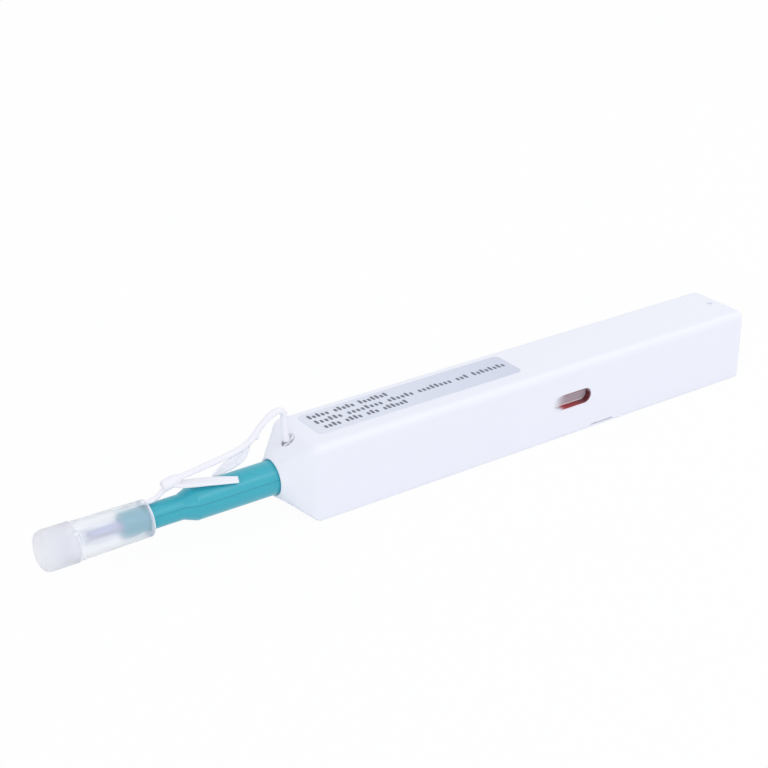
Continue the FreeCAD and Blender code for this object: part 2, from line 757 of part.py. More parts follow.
# ------------------------------------------------------------------ spindle
def spindle():
    """Hollow rod that carries the thread to the tip and turns inside the nozzle."""
    radius = spindle_diameter / 2
    collar_front = spigot_end + free_gap
    body = turned([
        (spindle_front, 0, 0),
        (spindle_front, radius, spindle_edge_radius),
        (collar_front, radius, 0),
        (collar_front, spindle_collar_diameter / 2, 0),
        (collar_front + spindle_collar_length, spindle_collar_diameter / 2, 0),
        (collar_front + spindle_collar_length, radius, 0),
        (barrel_front, radius, 0),
        (barrel_front, spindle_tail_diameter / 2, 0),
        (barrel_rear, spindle_tail_diameter / 2, 0),
        (barrel_rear, 0, 0),
    ])
    body = body.cut(rod(spindle_front - 1, barrel_rear + 1, thread_bore_diameter))
    return body.cut(rod(spindle_front - 1, spindle_front + tip_shank_length, tip_shank_diameter))


def cam_barrel():
    """Barrel on the spindle's tail, its helical groove turning it as it passes the cam pin."""
    barrel = rod(barrel_front, barrel_rear, barrel_diameter)
    barrel = barrel.makeChamfer(barrel_chamfer, [e for e in barrel.Edges if e.BoundBox.XLength < 1e-6])
    barrel = barrel.cut(rod(barrel_front - 1, barrel_rear + 1, spindle_tail_diameter))
    width = cam_pin_diameter + 2 * free_gap
    radius = barrel_diameter / 2
    floor_r = radius - cam_groove_depth
    lead = stroke * 360.0 / cam_turn
    helix = Part.makeHelix(lead, stroke, radius)
    helix.rotate(V(0, 0, 0), V(0, 1, 0), -90)
    helix.translate(V(cam_pin_x, 0, axis_z))
    tangent = V(-lead / (2 * math.pi * radius), 1, 0).normalize()
    across = tangent.cross(V(0, 0, 1)).normalize()
    middle = V(cam_pin_x, 0, axis_z)
    beyond = radius + 1
    profile = [middle + across * side * width / 2 + V(0, 0, level)
               for side, level in ((-1, floor_r), (1, floor_r), (1, beyond), (-1, beyond))]
    groove = Part.Wire(helix).makePipeShell([Part.makePolygon(profile + [profile[0]])], True, True)
    # Round ends; the front one is a hair wider so that its wall is not tangent to the groove's.
    ends = []
    for turn, back, end_width in ((0.0, 0, width), (cam_turn, stroke, width + running_clearance)):
        x = cam_pin_x - back
        end = post(x, 0, axis_z + floor_r, axis_z + beyond, end_width)
        end.rotate(V(0, 0, axis_z), V(1, 0, 0), -turn)
        ends.append(end)
    lead_in = box(cam_pin_x, barrel_rear + 1, -width / 2, width / 2, axis_z + floor_r, axis_z + beyond)
    for cutter in ends + [lead_in, groove]:
        barrel = barrel.cut(cutter)
    return barrel


def cleaning_tip():
    """Tip that presses the thread on the fibre end: shank, domed head and a slot for the thread."""
    radius = tip_diameter / 2
    shank = tip_shank_diameter / 2
    seat = spindle_front
    shank_end = seat + tip_shank_length - seat_gap
    tip = turned([
        (tip_front, 0, 0),
        (tip_front, radius, tip_edge_radius),
        (seat, radius, 0),
        (seat, shank, 0),
        (shank_end, shank, 0),
        (shank_end, 0, 0),
    ])
    half = tip_slot_width / 2
    tip = tip.cut(box(tip_front - 1, tip_front + tip_slot_depth, -radius - 1, radius + 1,
                      axis_z - half, axis_z + half))
    for side in (-1, 1):
        y0, y1 = sorted((side * (radius - tip_slot_depth), side * (radius + 1)))
        tip = tip.cut(box(tip_front - 1, seat, y0, y1, axis_z - half, axis_z + half))
    return tip


def tip_thread():
    """The stretch of thread that lies over the cleaning tip."""
    radius = tip_diameter / 2
    out, thick = radius - tip_slot_depth + thread_diameter, thread_diameter
    x0, x1 = tip_front + tip_slot_depth - thread_diameter, spindle_front - running_clearance
    half = tip_slot_width / 2 - running_clearance
    outline = [(x1, -out, 0), (x0, -out, thick), (x0, out, thick), (x1, out, 0), (x1, out - thick, 0),
               (x0 + thick, out - thick, 0), (x0 + thick, thick - out, 0), (x1, thick - out, 0)]
    return prism([(V(x, y, axis_z - half), corner) for x, y, corner in outline], V(0, 0, 2 * half))


# ------------------------------------------------------------------ reels, gear, pawl, rollers
def reel(x, low):
    """Spool with two pierced flanges on its hub."""
    body = post(x, 0, low, reel_top, hub_diameter)
    for z in (winding_low - flange_thickness, winding_high):
        flange = post(x, 0, z, z + flange_thickness, 2 * flange_radius)
        for i in range(reel_holes):
            turn = 2 * math.pi * i / reel_holes
            flange = flange.cut(post(x + reel_hole_radius * math.cos(turn), reel_hole_radius * math.sin(turn),
                                     z, z + flange_thickness, reel_hole_diameter))
        body = body.fuse(flange)
    return body.removeSplitter()


def axle_bore(x, z0, z1):
    return post(x, 0, z0 - 1, z1 + 1, axle_diameter + 2 * running_clearance)


def supply_reel():
    return reel(window_x, boss_top + seat_gap).cut(axle_bore(window_x, boss_top, reel_top))


def supply_thread():
    ring = post(window_x, 0, winding_low, winding_high, 2 * supply_pack_radius)
    return ring.cut(post(window_x, 0, winding_low - 1, winding_high + 1, hub_diameter))


def takeup_thread():
    ring = post(gear_x, 0, winding_low, winding_high, takeup_pack_diameter)
    return ring.cut(post(gear_x, 0, winding_low - 1, winding_high + 1, hub_diameter))


def takeup_reel():
    """Spool whose foot is a ratchet wheel."""
    low = wheel_low
    points = []
    for i in range(ratchet_teeth):
        turn = 2 * math.pi * i / ratchet_teeth
        for radius in (ratchet_tip_radius, ratchet_tip_radius - ratchet_depth):
            points.append(V(gear_x + radius * math.cos(turn), radius * math.sin(turn), low))
    wheel = Part.Face(Part.makePolygon(points + [points[0]])).extrude(V(0, 0, ratchet_thickness))
    return reel(gear_x, low).fuse(wheel).cut(axle_bore(gear_x, low, reel_top)).removeSplitter()


def drive_gear():
    """Spur gear on the take-up axle with involute teeth, one tooth pointing at the rack."""
    base = pitch_radius * math.cos(math.radians(pressure_angle))
    root, tip = pitch_radius - dedendum, pitch_radius + addendum

    def involute(radius):
        angle = math.acos(min(1.0, base / radius))
        return math.tan(angle) - angle

    half_pitch = math.pi / (2 * gear_teeth) - gear_backlash / (4 * pitch_radius) + involute(pitch_radius)
    steps = 4
    flank = [(root, half_pitch)]
    for i in range(steps + 1):
        radius = max(base, root) + (tip - max(base, root)) * i / steps
        flank.append((radius, half_pitch - involute(radius)))
    points = []
    for tooth in range(gear_teeth):
        middle = math.pi / 2 + 2 * math.pi * tooth / gear_teeth
        for side, run in ((-1, flank), (1, flank[::-1])):
            for radius, angle in run:
                turn = middle + side * angle
                points.append(V(gear_x + radius * math.cos(turn), radius * math.sin(turn), rack_low))
    gear = Part.Face(Part.makePolygon(points + [points[0]])).extrude(V(0, 0, rack_height))
    gear = gear.fuse(post(gear_x, 0, reel_top + seat_gap, rack_low + seat_gap, gear_hub_diameter))
    return gear.cut(axle_bore(gear_x, reel_top, rack_high)).removeSplitter()


def ratchet_pawl():
    """Pawl that rests in a tooth gap of the ratchet wheel, with a springy tail."""
    low = wheel_low
    px, py = pawl_pivot()
    root = gear_x + ratchet_tip_radius - ratchet_depth + pawl_gap
    nose = [(root, sliding_clearance), (root + pawl_tooth_width, sliding_clearance),
            (px + pawl_arm_half, py), (px - pawl_arm_half, py),
            (root + pawl_tooth_width / 2, pawl_tooth_length)]
    pawl = prism([(V(x, y, low), 0) for x, y in nose], V(0, 0, ratchet_thickness))
    pawl = pawl.fuse(post(px, py, low, low + ratchet_thickness, pawl_eye_diameter))
    tail_y = py + pawl_tail_offset
    pawl = pawl.fuse(box(px, px + pawl_tail_length, tail_y, tail_y + pawl_tail_thickness, low,
                         low + ratchet_thickness))
    return pawl.cut(post(px, py, low - 1, low + ratchet_thickness + 1,
                         small_pin_diameter + 2 * running_clearance)).removeSplitter()


def guide_roller(y):
    """Small grooved roller that turns the thread."""
    low, high = window_z - roller_height / 2, window_z + roller_height / 2
    body = post(roller_x, y, low, high, roller_diameter)
    return body.cut(post(roller_x, y, low - 1, high + 1, small_pin_diameter + 2 * running_clearance))


# ------------------------------------------------------------------ thread runs
def tangent_point(point, centre, radius, side):
    """Where a line from a point touches a circle, on the side given as +1 or -1 in Y."""
    to_point = point - centre
    spread = math.acos(radius / to_point.Length)
    best = None
    for sign in (-1, 1):
        turn = math.atan2(to_point.y, to_point.x) + sign * spread
        found = centre + V(math.cos(turn), math.sin(turn), 0) * radius
        if best is None or side * found.y > side * best.y:
            best = found
    return best


def thread_run(start, roller_y, side):
    """Thread from a point on a reel, round a guide roller, to the rear of the spindle."""
    centre = V(roller_x, roller_y, window_z)
    wrap = (roller_diameter + thread_diameter) / 2 + running_clearance
    end = V(barrel_rear + thread_end_gap, side * thread_gap, window_z)
    first, last = tangent_point(start, centre, wrap, side), tangent_point(end, centre, wrap, side)
    middle = centre + ((first + last) * 0.5 - centre).normalize() * wrap
    edges = [Part.LineSegment(start, first).toShape(), Part.Arc(first, middle, last).toShape(),
             Part.LineSegment(last, end).toShape()]
    circle = Part.Wire(Part.makeCircle(thread_diameter / 2, start, (first - start).normalize()))
    return Part.Wire(edges).makePipeShell([circle], True, False)


def thread_feed_run():
    pack = supply_pack_radius + thread_diameter / 2 + running_clearance
    return thread_run(V(window_x, -pack, window_z), feed_roller_offset, -1)


def thread_return_run():
    """Return thread: along the lane beside the supply reel, then onto the take-up reel."""
    lane_end = V(window_x + flange_radius, thread_lane, window_z)
    run = thread_run(lane_end, return_roller_offset, 1)
    pack = takeup_pack_diameter / 2 + thread_diameter / 2 + running_clearance
    onto = tangent_point(lane_end, V(gear_x, 0, window_z), pack, 1)
    last = Part.makeCylinder(thread_diameter / 2, (onto - lane_end).Length, lane_end, onto - lane_end)
    return run.fuse(last).fuse(Part.makeSphere(thread_diameter / 2, lane_end))


# ------------------------------------------------------------------ cap, lid, tether
def guide_cap_sleeve():
    """Frosted cap: grips the nozzle, clears the cleaning tip, guides a ferrule from the front."""
    bore_r = nozzle_tip_diameter / 2 + running_clearance
    room_r = cap_tip_room_diameter / 2
    seat = nozzle_front - free_gap
    room_end = tip_front - thread_diameter - free_gap
    sleeve = turned([
        (cap_rear, bore_r, 0),
        (seat, bore_r, 0),
        (seat, room_r, 0),
        (room_end, room_r, 0),
        (room_end, ferrule_bore_diameter / 2, 0),
        (cap_spigot_front, ferrule_bore_diameter / 2, 0),
        (cap_spigot_front, cap_spigot_diameter / 2, cap_spigot_radius),
        (cap_front, cap_spigot_diameter / 2, 0),
        (cap_front, cap_front_diameter / 2, cap_step_radius),
        (cap_rear, cap_rear_diameter / 2, cap_rim_radius),
    ])
    # Key that fits the notch in the lid's rim, on the window side of the top.
    key = box(cap_front - key_reach, cap_front - key_reach + key_length, -key_width / 2, key_width / 2,
              axis_z + cap_spigot_diameter / 2 - key_height, axis_z + cap_front_diameter / 2 + key_height)
    key.rotate(V(0, 0, axis_z), V(1, 0, 0), key_angle)
    # Root of the tether's neck.
    top = axis_z + cap_rear_diameter / 2
    root = box(cap_rear - cap_rim_radius - neck_root_length, cap_rear - cap_rim_radius,
               -neck_root_width / 2, neck_root_width / 2, top - cap_rim_radius, top + sliding_clearance)
    return sleeve.fuse(key).fuse(root).removeSplitter()


def end_lid():
    """Cup that closes the cap's front, notched for the key."""
    bore_r = cap_spigot_diameter / 2 + running_clearance
    mouth = cap_front - lid_mouth_gap
    lid = turned([
        (mouth, bore_r, 0),
        (lid_front + lid_wall, bore_r, cap_spigot_radius),
        (lid_front + lid_wall, 0, 0),
        (lid_front, 0, 0),
        (lid_front, lid_diameter / 2, lid_front_radius),
        (mouth, lid_diameter / 2, lid_mouth_radius),
    ])
    half = key_width / 2 + sliding_clearance
    slot = box(cap_front - key_reach - free_gap, cap_front + 1, -half, half,
               axis_z + bore_r - key_height - sliding_clearance, axis_z + lid_diameter / 2 + 1)
    slot.rotate(V(0, 0, axis_z), V(1, 0, 0), key_angle)
    return lid.cut(slot)


def strap_point(place):
    """Point in the pen's middle plane from a place in one of the strap's routes."""
    ahead, up = place
    return V(front - ahead, 0, case_height + up)


def tether_strap():
    """Soft moulded strap: neck and head at the cap, strand over the nose to the eye, leaf and flat tab."""
    cap_top = axis_z + cap_rear_diameter / 2
    head = V(cap_rear + strap_head_reach, 0, cap_top + strap_head_rise)
    root = V(cap_rear - cap_rim_radius - neck_root_length / 2, 0,
             cap_top + sliding_clearance + neck_diameter / 2)
    neck = [root, V(cap_rear + neck_middle_reach, 0, cap_top + neck_middle_rise), head]
    bar, along = eye_bar()
    ring_r = eye_bar_diameter / 2 + sliding_clearance
    outer_r = ring_r + strap_ring_thickness
    strand = [bar + V(0, 0, ring_r + strap_ring_thickness / 2)]
    strand += [strap_point(place) for place in strap_loop + strap_run] + [head]
    side = bar - along * (strap_ring_width / 2)
    eye_end = tube_along(strand, strap_diameter, strap_bend)
    eye_end = eye_end.fuse(Part.makeCylinder(outer_r, strap_ring_width, side, along))
    eye_end = eye_end.cut(Part.makeCylinder(ring_r, strap_ring_width + 2, side - along, along))
    return joined([eye_end, tube_along(neck, neck_diameter, neck_bend),
                   Part.makeSphere(strap_head_diameter / 2, head),
                   Part.makeSphere(strap_knob_diameter / 2, strap_point(strap_knob_place)),
                   strap_tab(head), strap_leaf()])


def strap_tab(head):
    """Flat tab with a square end that lies along the nozzle and leans over to the window side."""
    def section(x, lift, turn, width, thick):
        """Rounded rectangle so far above the nozzle, turned round its axis."""
        angle = math.radians(turn)
        side, up = V(0, math.cos(angle), math.sin(angle)), V(0, -math.sin(angle), math.cos(angle))
        middle = V(x, 0, axis_z) + up * (nozzle_diameter / 2 + strap_tab_gap + thick / 2 + lift)
        corners = [middle + side * (a * width / 2) + up * (b * thick / 2)
                   for a, b in ((-1, -1), (1, -1), (1, 1), (-1, 1))]
        return rounded_wire([(corner, thick * strap_tab_corner) for corner in corners])

    rise = head.z - axis_z - nozzle_diameter / 2 - strap_tab_gap - strap_tab_thickness / 2
    sections = []
    for part in [i / strap_tab_steps for i in range(strap_tab_steps + 1)]:
        width = strap_tab_width + (strap_tab_end_width - strap_tab_width) * part
        thick = strap_tab_thickness + (strap_tab_end_thickness - strap_tab_thickness) * part
        sections.append(section(head.x + strap_tab_length * part, rise * (1 - part)**3, strap_tab_turn * part,
                                width, thick))
    return Part.makeLoft(sections, True, True)


def strap_leaf():
    """Leaf-shaped tongue that drops from the strand to the tab."""
    high, low = strap_point(leaf_start), strap_point(leaf_end)
    along = low - high
    across = V(along).normalize().cross(V(0, 1, 0)) * (leaf_width / 2)
    outline = [high + along * share + across * width for share, width in leaf_outline]
    outline += [high + along * share - across * width for share, width in leaf_outline[::-1]]
    side = V(0, leaf_thickness / 2, 0)
    return prism([(point - side, 0) for point in outline], side * 2)


# ------------------------------------------------------------------ every node, one STEP each
NODES = {
    "case_shell": case_shell,
    "bottom_cover": bottom_cover,
    "label": label,
    "window_liner": window_liner,
    "window_pane": window_pane,
    "inner_frame": inner_frame,
    "supply_axle": supply_axle,
    "takeup_axle": takeup_axle,
    "roller_pins": roller_pins,
    "pawl_pin": pawl_pin,
    "cam_pin": cam_pin,
    "spring_rod": spring_rod,
    "return_spring": return_spring,
    "thread_feed_run": thread_feed_run,
    "thread_return_run": thread_return_run,
    "nozzle_tube": nozzle_tube,
    "carriage": carriage,
    "rack_bar": rack_bar,
    "spindle": spindle,
    "cam_barrel": cam_barrel,
    "cleaning_tip": cleaning_tip,
    "tip_thread": tip_thread,
    "supply_reel": supply_reel,
    "supply_thread": supply_thread,
    "takeup_reel": takeup_reel,
    "takeup_thread": takeup_thread,
    "drive_gear": drive_gear,
    "ratchet_pawl": ratchet_pawl,
    "feed_roller": lambda: guide_roller(feed_roller_offset),
    "return_roller": lambda: guide_roller(return_roller_offset),
    "guide_cap_sleeve": guide_cap_sleeve,
    "end_lid": end_lid,
    "tether_strap": tether_strap,
}

os.makedirs("parts", exist_ok=True)
for name, build in NODES.items():
    shape = build()
    shape.exportStep(os.path.join("parts", name + ".step"))
    size = shape.BoundBox
    print(f"{name:18s} solids {len(shape.Solids)} valid {shape.isValid()} volume {shape.Volume:9.2f}"
          f"  x {size.XMin:8.2f} {size.XMax:8.2f}  y {size.YMin:7.2f} {size.YMax:7.2f}"
          f"  z {size.ZMin:6.2f} {size.ZMax:6.2f}")
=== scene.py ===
import math

import bmesh
import bpy
import numpy as np
from mathutils import Matrix, Vector


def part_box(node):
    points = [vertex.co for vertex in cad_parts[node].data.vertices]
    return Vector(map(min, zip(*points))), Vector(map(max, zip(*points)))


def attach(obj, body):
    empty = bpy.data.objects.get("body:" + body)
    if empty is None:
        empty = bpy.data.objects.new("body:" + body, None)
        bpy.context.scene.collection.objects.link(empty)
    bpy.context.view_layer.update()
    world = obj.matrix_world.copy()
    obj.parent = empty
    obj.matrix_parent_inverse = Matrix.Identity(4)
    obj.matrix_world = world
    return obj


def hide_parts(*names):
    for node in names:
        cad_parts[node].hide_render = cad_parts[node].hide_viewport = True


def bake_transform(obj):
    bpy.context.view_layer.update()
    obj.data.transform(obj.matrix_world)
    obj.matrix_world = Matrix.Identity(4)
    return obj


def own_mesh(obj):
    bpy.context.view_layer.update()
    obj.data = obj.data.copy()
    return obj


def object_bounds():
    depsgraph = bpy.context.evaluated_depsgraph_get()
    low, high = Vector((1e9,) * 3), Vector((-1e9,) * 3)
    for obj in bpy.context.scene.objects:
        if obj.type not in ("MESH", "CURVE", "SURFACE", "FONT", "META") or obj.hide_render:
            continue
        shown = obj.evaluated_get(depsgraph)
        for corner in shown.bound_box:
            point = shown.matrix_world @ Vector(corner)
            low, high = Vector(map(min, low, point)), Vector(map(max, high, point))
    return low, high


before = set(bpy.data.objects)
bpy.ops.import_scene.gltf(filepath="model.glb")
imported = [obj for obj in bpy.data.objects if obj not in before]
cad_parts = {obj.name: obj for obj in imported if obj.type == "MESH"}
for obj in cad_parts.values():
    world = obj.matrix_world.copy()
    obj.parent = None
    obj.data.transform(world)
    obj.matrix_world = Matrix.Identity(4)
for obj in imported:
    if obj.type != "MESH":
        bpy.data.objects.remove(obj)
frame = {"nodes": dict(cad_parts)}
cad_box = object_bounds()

bl_info = {
    "name": "Connector Cleaning Pen Dresser",
    "version": (1, 0, 0),
    "blender": (4, 5, 0),
    "location": "View3D > Sidebar > Cleaning Pen",
    "description": "Finishes, print, windings, tether strap and stage for the fibre connector cleaning pen",
    "category": "Object",
}

MM = 0.001  # metres in a millimetre
HUB_RADIUS = 2.6  # of both reels, in millimetres


# ---------------------------------------------------------------- places read from the frame
def low(node):
    return np.array(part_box(node)[0])


def high(node):
    return np.array(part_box(node)[1])


SHOULDER = low("bottom_cover")[0]  # where the nose starts to taper
LABEL_FACE = low("label")[2]
PARTING_Z = (low("nozzle_tube")[2] + high("nozzle_tube")[2]) / 2 + 1.1 * MM  # the nozzle's parting line
THREAD_GAP = 0.1 * MM  # between a thread's run and what it goes round
THREAD_INSET = 0.02 * MM  # of a run's front end from the end of its CAD piece


def linear(code):
    """Linear RGBA from an sRGB hex code."""
    shares = [int(code[i:i + 2], 16) / 255 for i in (0, 2, 4)]
    return tuple(c / 12.92 if c <= 0.04045 else ((c + 0.055) / 1.055) ** 2.4 for c in shares) + (1.0,)


# ---------------------------------------------------------------- what a user would change
def colour(name, description, code):
    return bpy.props.FloatVectorProperty(name=name, description=description, subtype="COLOR", size=4,
                                         min=0, max=1, default=linear(code))


def millimetres(name, description, value):
    return bpy.props.FloatProperty(name=name, description=description, default=value, min=0, unit="NONE")


class PenColours(bpy.types.PropertyGroup):
    """Colours of the pen's mouldings, print and thread."""
    case: colour("Case", "White moulded case", "F2F3F9")
    label: colour("Label", "Blue-grey label film at its front end", "E4E7F1")
    label_rear: colour("Label rear", "Blue-grey label film at its rear end", "D4D9E7")
    ink: colour("Ink", "Printed blocks on the label", "777B87")
    liner: colour("Window liner", "Red ring in the thread window", "B3252B")
    # Liner, rear: painted shade, the darker red that the inside of the window is painted towards its rear end
    liner_rear_shade: colour("Liner, rear", "Darkest red of the ring, at its rear end", "6B2730")
    liner_upper: colour("Liner, upper", "Mauve of the ring's upper rim", "8E747E")
    pane: colour("Window pane", "Tinted clear pane in the window", "D2B6C2")
    pane_streak: colour("Pane streaks", "Lighter streaks along the pane", "EADCE2")
    nozzle: colour("Nozzle", "Teal nozzle", "36AFC0")
    # Parting line: painted shade, a darker teal along the line where its crease would fall in shade
    parting: colour("Parting line", "Thin line where the nozzle's moulds meet", "1F7F91")
    sleeve: colour("Guide cap", "Frosted cap sleeve", "F4F8FF")
    lid: colour("End lid", "Milky end lid", "FBFBFF")
    strap: colour("Tether strap", "Soft clear strap", "FCFBFF")
    spindle: colour("Spindle", "Lilac-grey spindle", "CCCBE6")
    thread: colour("Thread", "Cleaning thread", "E6E0DE")
    reel: colour("Reels", "Tinted reel flanges", "C9B2B8")
    acetal: colour("Acetal", "Natural acetal of the slider, rack, gear and rollers", "E4E3DC")
    dark_acetal: colour("Dark acetal", "Cam barrel and pawl", "3A3C42")
    frame: colour("Frame", "Grey inner frame", "D3D5DA")
    steel: colour("Steel", "Pins, axles, rod and spring", "C4C7CC")


class PenSizes(bpy.types.PropertyGroup):
    """Sizes of what is added to the frame, in millimetres."""
    block_width: millimetres("Block width", "Width of a printed block", 0.84)
    block_height: millimetres("Block height", "Height of a tall printed block", 2.1)
    block_low: millimetres("Low block height", "Height of a low printed block", 1.5)
    block_pitch: millimetres("Block pitch", "Distance from one printed block to the next", 1.21)
    ink_height: millimetres("Ink thickness", "How far the ink stands on the film", 0.012)
    thread_pitch: millimetres("Thread pitch", "Distance between turns of the winding", 0.31)
    spring_wire: millimetres("Spring wire", "Diameter of the return spring's wire", 0.44)
    spring_turns: bpy.props.IntProperty(name="Spring turns", description="Turns of the return spring",
                                        default=9)
    strand_width: millimetres("Strand width", "Diameter of the strap's strand at its middle", 1.6)
    tab_width: millimetres("Tab width", "Width of the strap's flat tab", 2.8)
    tab_thickness: millimetres("Tab thickness", "Thickness of the strap's flat tab at its root", 0.9)
    remesh: millimetres("Strap detail", "Grid that the strap's shapes are joined on", 0.16)


class PenStage(bpy.types.PropertyGroup):
    """Camera, lamps and floor."""
    azimuth: bpy.props.FloatProperty(name="Azimuth", description="Camera's turn about the vertical",
                                     default=math.radians(-33.771), subtype="ANGLE")
    elevation: bpy.props.FloatProperty(name="Elevation", description="Camera's height above the horizon",
                                       default=math.radians(25.688), subtype="ANGLE")
    roll: bpy.props.FloatProperty(name="Roll", description="Camera's turn about its own axis",
                                  default=math.radians(-0.683), subtype="ANGLE")
    distance: bpy.props.FloatProperty(name="Distance", description="From the camera to the point it aims at",
                                      default=0.37915, unit="LENGTH")
    aim: bpy.props.FloatVectorProperty(name="Aim", description="Aim from the middle of the pen's box", size=3,
                                       default=(-0.006011, 0.008547, 0.006703), subtype="TRANSLATION")
    lens: bpy.props.FloatProperty(name="Lens", description="Focal length on a 36 mm sensor", default=70.22)
    fill: bpy.props.FloatProperty(name="Fill", description="Strength of the light from all round",
                                  default=0.88)
    side_power: bpy.props.FloatProperty(name="Side lamp", description="Power of the soft box by the window",
                                        default=1.45, unit="POWER")
    strip_power: bpy.props.FloatProperty(name="Strip lamp", description="Power of the strip along the pen",
                                         default=0.9, unit="POWER")
    paper: colour("Paper", "Floor's paper", "F4F5F7")
    room: colour("Room", "Light from all round", "F7F9FF")
    floor_glow: bpy.props.FloatProperty(name="Floor whiteness", description="Share of plain white in it",
                                        default=0.95, min=0, max=1)


# ---------------------------------------------------------------- surfaces
def unit(vectors):
    return vectors / np.linalg.norm(vectors, axis=-1, keepdims=True)


def quads(rows, columns, wrap_rows=False, wrap_columns=True):
    """Faces of a grid of points, row by row, closed round its columns and, if asked, its rows."""
    i = np.arange(rows if wrap_rows else rows - 1)[:, None]
    j = np.arange(columns if wrap_columns else columns - 1)[None, :]
    i2, j2 = (i + 1) % rows, (j + 1) % columns
    corners = [i * columns + j, i2 * columns + j, i2 * columns + j2, i * columns + j2]
    return np.stack([c + 0 * (i + j) for c in corners], -1).reshape(-1, 4)


def closed_stack(rings):
    """Points and faces of a stack of rings with a point in the middle of each end."""
    rows, columns = rings.shape[:2]
    points = np.vstack([rings.reshape(-1, 3), rings[0].mean(0), rings[-1].mean(0)])
    faces = quads(rows, columns).tolist()
    start, end = rows * columns, rows * columns + 1
    last = (rows - 1) * columns
    faces += [[start, j, (j + 1) % columns] for j in range(columns)]
    faces += [[end, last + (j + 1) % columns, last + j] for j in range(columns)]
    return points, faces


def merged(shapes):
    """One list of points and faces from several."""
    points, faces, offset = [], [], 0
    for shape_points, shape_faces in shapes:
        points.append(shape_points)
        faces += [[offset + k for k in face] for face in shape_faces]
        offset += len(shape_points)
    return np.vstack(points), faces


def smooth_path(points, count):
    """Curve through the points: on each span a cubic, with half its neighbours' chord as end slope."""
    p = np.asarray(points, float)
    p = np.vstack([2 * p[0] - p[1], p, 2 * p[-1] - p[-2]])
    t = np.linspace(0, len(points) - 1 - 1e-9, count)
    k = t.astype(int)
    u = (t - k)[:, None]
    a, b, c, d = p[k], p[k + 1], p[k + 2], p[k + 3]
    return 0.5 * (2 * b + (c - a) * u + (2 * a - 5 * b + 4 * c - d) * u**2 + (3 * b - a - 3 * c + d) * u**3)


def swept(path, widths, heights, twists, columns=20, squareness=2.0, dish=0.0):
    """Closed strip along a path: a superellipse of half-width w and half-height h, turned by a twist.

    Its width is drawn in by the dish share where the height is zero, which hollows its two broad sides.
    """
    tangent = unit(np.gradient(path, axis=0))
    across = unit(np.array((0.0, 1.0, 0.0)) - tangent * tangent[:, 1:2])
    up = np.cross(tangent, across)
    count = len(path)
    station = np.linspace(0, 1, count)
    w, h, twist = (np.interp(station, np.linspace(0, 1, len(v)), v) for v in (widths, heights, twists))
    angle = np.linspace(0, 2 * math.pi, columns, endpoint=False)
    power = 2 / squareness
    a = np.sign(np.cos(angle)) * np.abs(np.cos(angle)) ** power
    b = np.sign(np.sin(angle)) * np.abs(np.sin(angle)) ** power
    c, s = np.cos(twist)[:, None, None], np.sin(twist)[:, None, None]
    right = across[:, None, :] * c + up[:, None, :] * s
    above = up[:, None, :] * c - across[:, None, :] * s
    x = (a * (1 - dish * (1 - b**2) ** 2))[None, :, None] * w[:, None, None]
    y = b[None, :, None] * h[:, None, None]
    return closed_stack(path[:, None, :] + right * x + above * y)


def revolved(centre, axis, profile, columns=32):
    """Closed solid of (distance along, radius) points turned about an axis through a centre."""
    axis = unit(np.asarray(axis, float))
    side = unit(np.cross(axis, (0.0, 0.0, 1.0) if abs(axis[2]) < 0.9 else (1.0, 0.0, 0.0)))
    other = np.cross(axis, side)
    along, radius = np.asarray(profile, float).T
    angle = np.linspace(0, 2 * math.pi, columns, endpoint=False)
    turn = side * np.cos(angle)[:, None] + other * np.sin(angle)[:, None]
    return closed_stack(np.asarray(centre) + axis * along[:, None, None] + turn[None] * radius[:, None, None])


def tangent_point(point, centre, radius, side):
    """Where a line from a point touches a circle, on its side of higher Y (1) or lower Y (-1)."""
    across = np.asarray(point) - centre
    turns = math.atan2(across[1], across[0]) + np.array((-1, 1)) * math.acos(radius / np.linalg.norm(across))
    found = centre + radius * np.stack([np.cos(turns), np.sin(turns)], -1)
    return found[np.argmax(side * found[:, 1])]


def ring_shape(centre, axis, radius, thickness, rows=40, columns=16):
    """Torus: a circle of half the thickness carried round a circle of the given radius."""
    axis = unit(np.asarray(axis, float))
    side = unit(np.cross(axis, (0.0, 0.0, 1.0) if abs(axis[2]) < 0.9 else (1.0, 0.0, 0.0)))
    other = np.cross(axis, side)
    a = np.linspace(0, 2 * math.pi, rows, endpoint=False)[:, None, None]
    b = np.linspace(0, 2 * math.pi, columns, endpoint=False)[None, :, None]
    out = side * np.cos(a) + other * np.sin(a)
    half = thickness / 2
    points = np.asarray(centre) + out * (radius + np.cos(b) * half) + axis * np.sin(b) * half
    return points.reshape(-1, 3), quads(rows, columns, wrap_rows=True).tolist()


def piece(name, shape, finish, body=None, smooth=True):
    """Mesh object from points and faces, its faces turned outwards, its place in its mesh."""
    points, faces = shape
    mesh = bpy.data.meshes.new(name)
    mesh.from_pydata(np.asarray(points).tolist(), [], [list(f) for f in faces])
    edit = bmesh.new()
    edit.from_mesh(mesh)
    bmesh.ops.recalc_face_normals(edit, faces=edit.faces)
    edit.to_mesh(mesh)
    edit.free()
    mesh.polygons.foreach_set("use_smooth", np.full(len(mesh.polygons), smooth))
    mesh.materials.append(finish)
    thing = bpy.data.objects.new(name, mesh)
    bpy.context.scene.collection.objects.link(thing)
    if body:
        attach(thing, body)
    return thing


def moulded_together(name, shapes, grid, rounds, finish):
    """One skin over overlapping shapes: rebuilt on a fine grid, then relaxed to fillet the roots."""
    thing = piece(name, merged(shapes), finish)
    remesh = thing.modifiers.new("one skin", "REMESH")
    remesh.mode = "VOXEL"
    remesh.voxel_size = grid
    relax = thing.modifiers.new("soft roots", "SMOOTH")
    relax.factor = 0.5
    relax.iterations = rounds
    bpy.context.view_layer.update()
    final = bpy.data.meshes.new_from_object(thing.evaluated_get(bpy.context.evaluated_depsgraph_get()))
    thing.modifiers.clear()
    thing.data = final
    final.polygons.foreach_set("use_smooth", np.ones(len(final.polygons), bool))
    if not final.materials:
        final.materials.append(finish)
    return thing


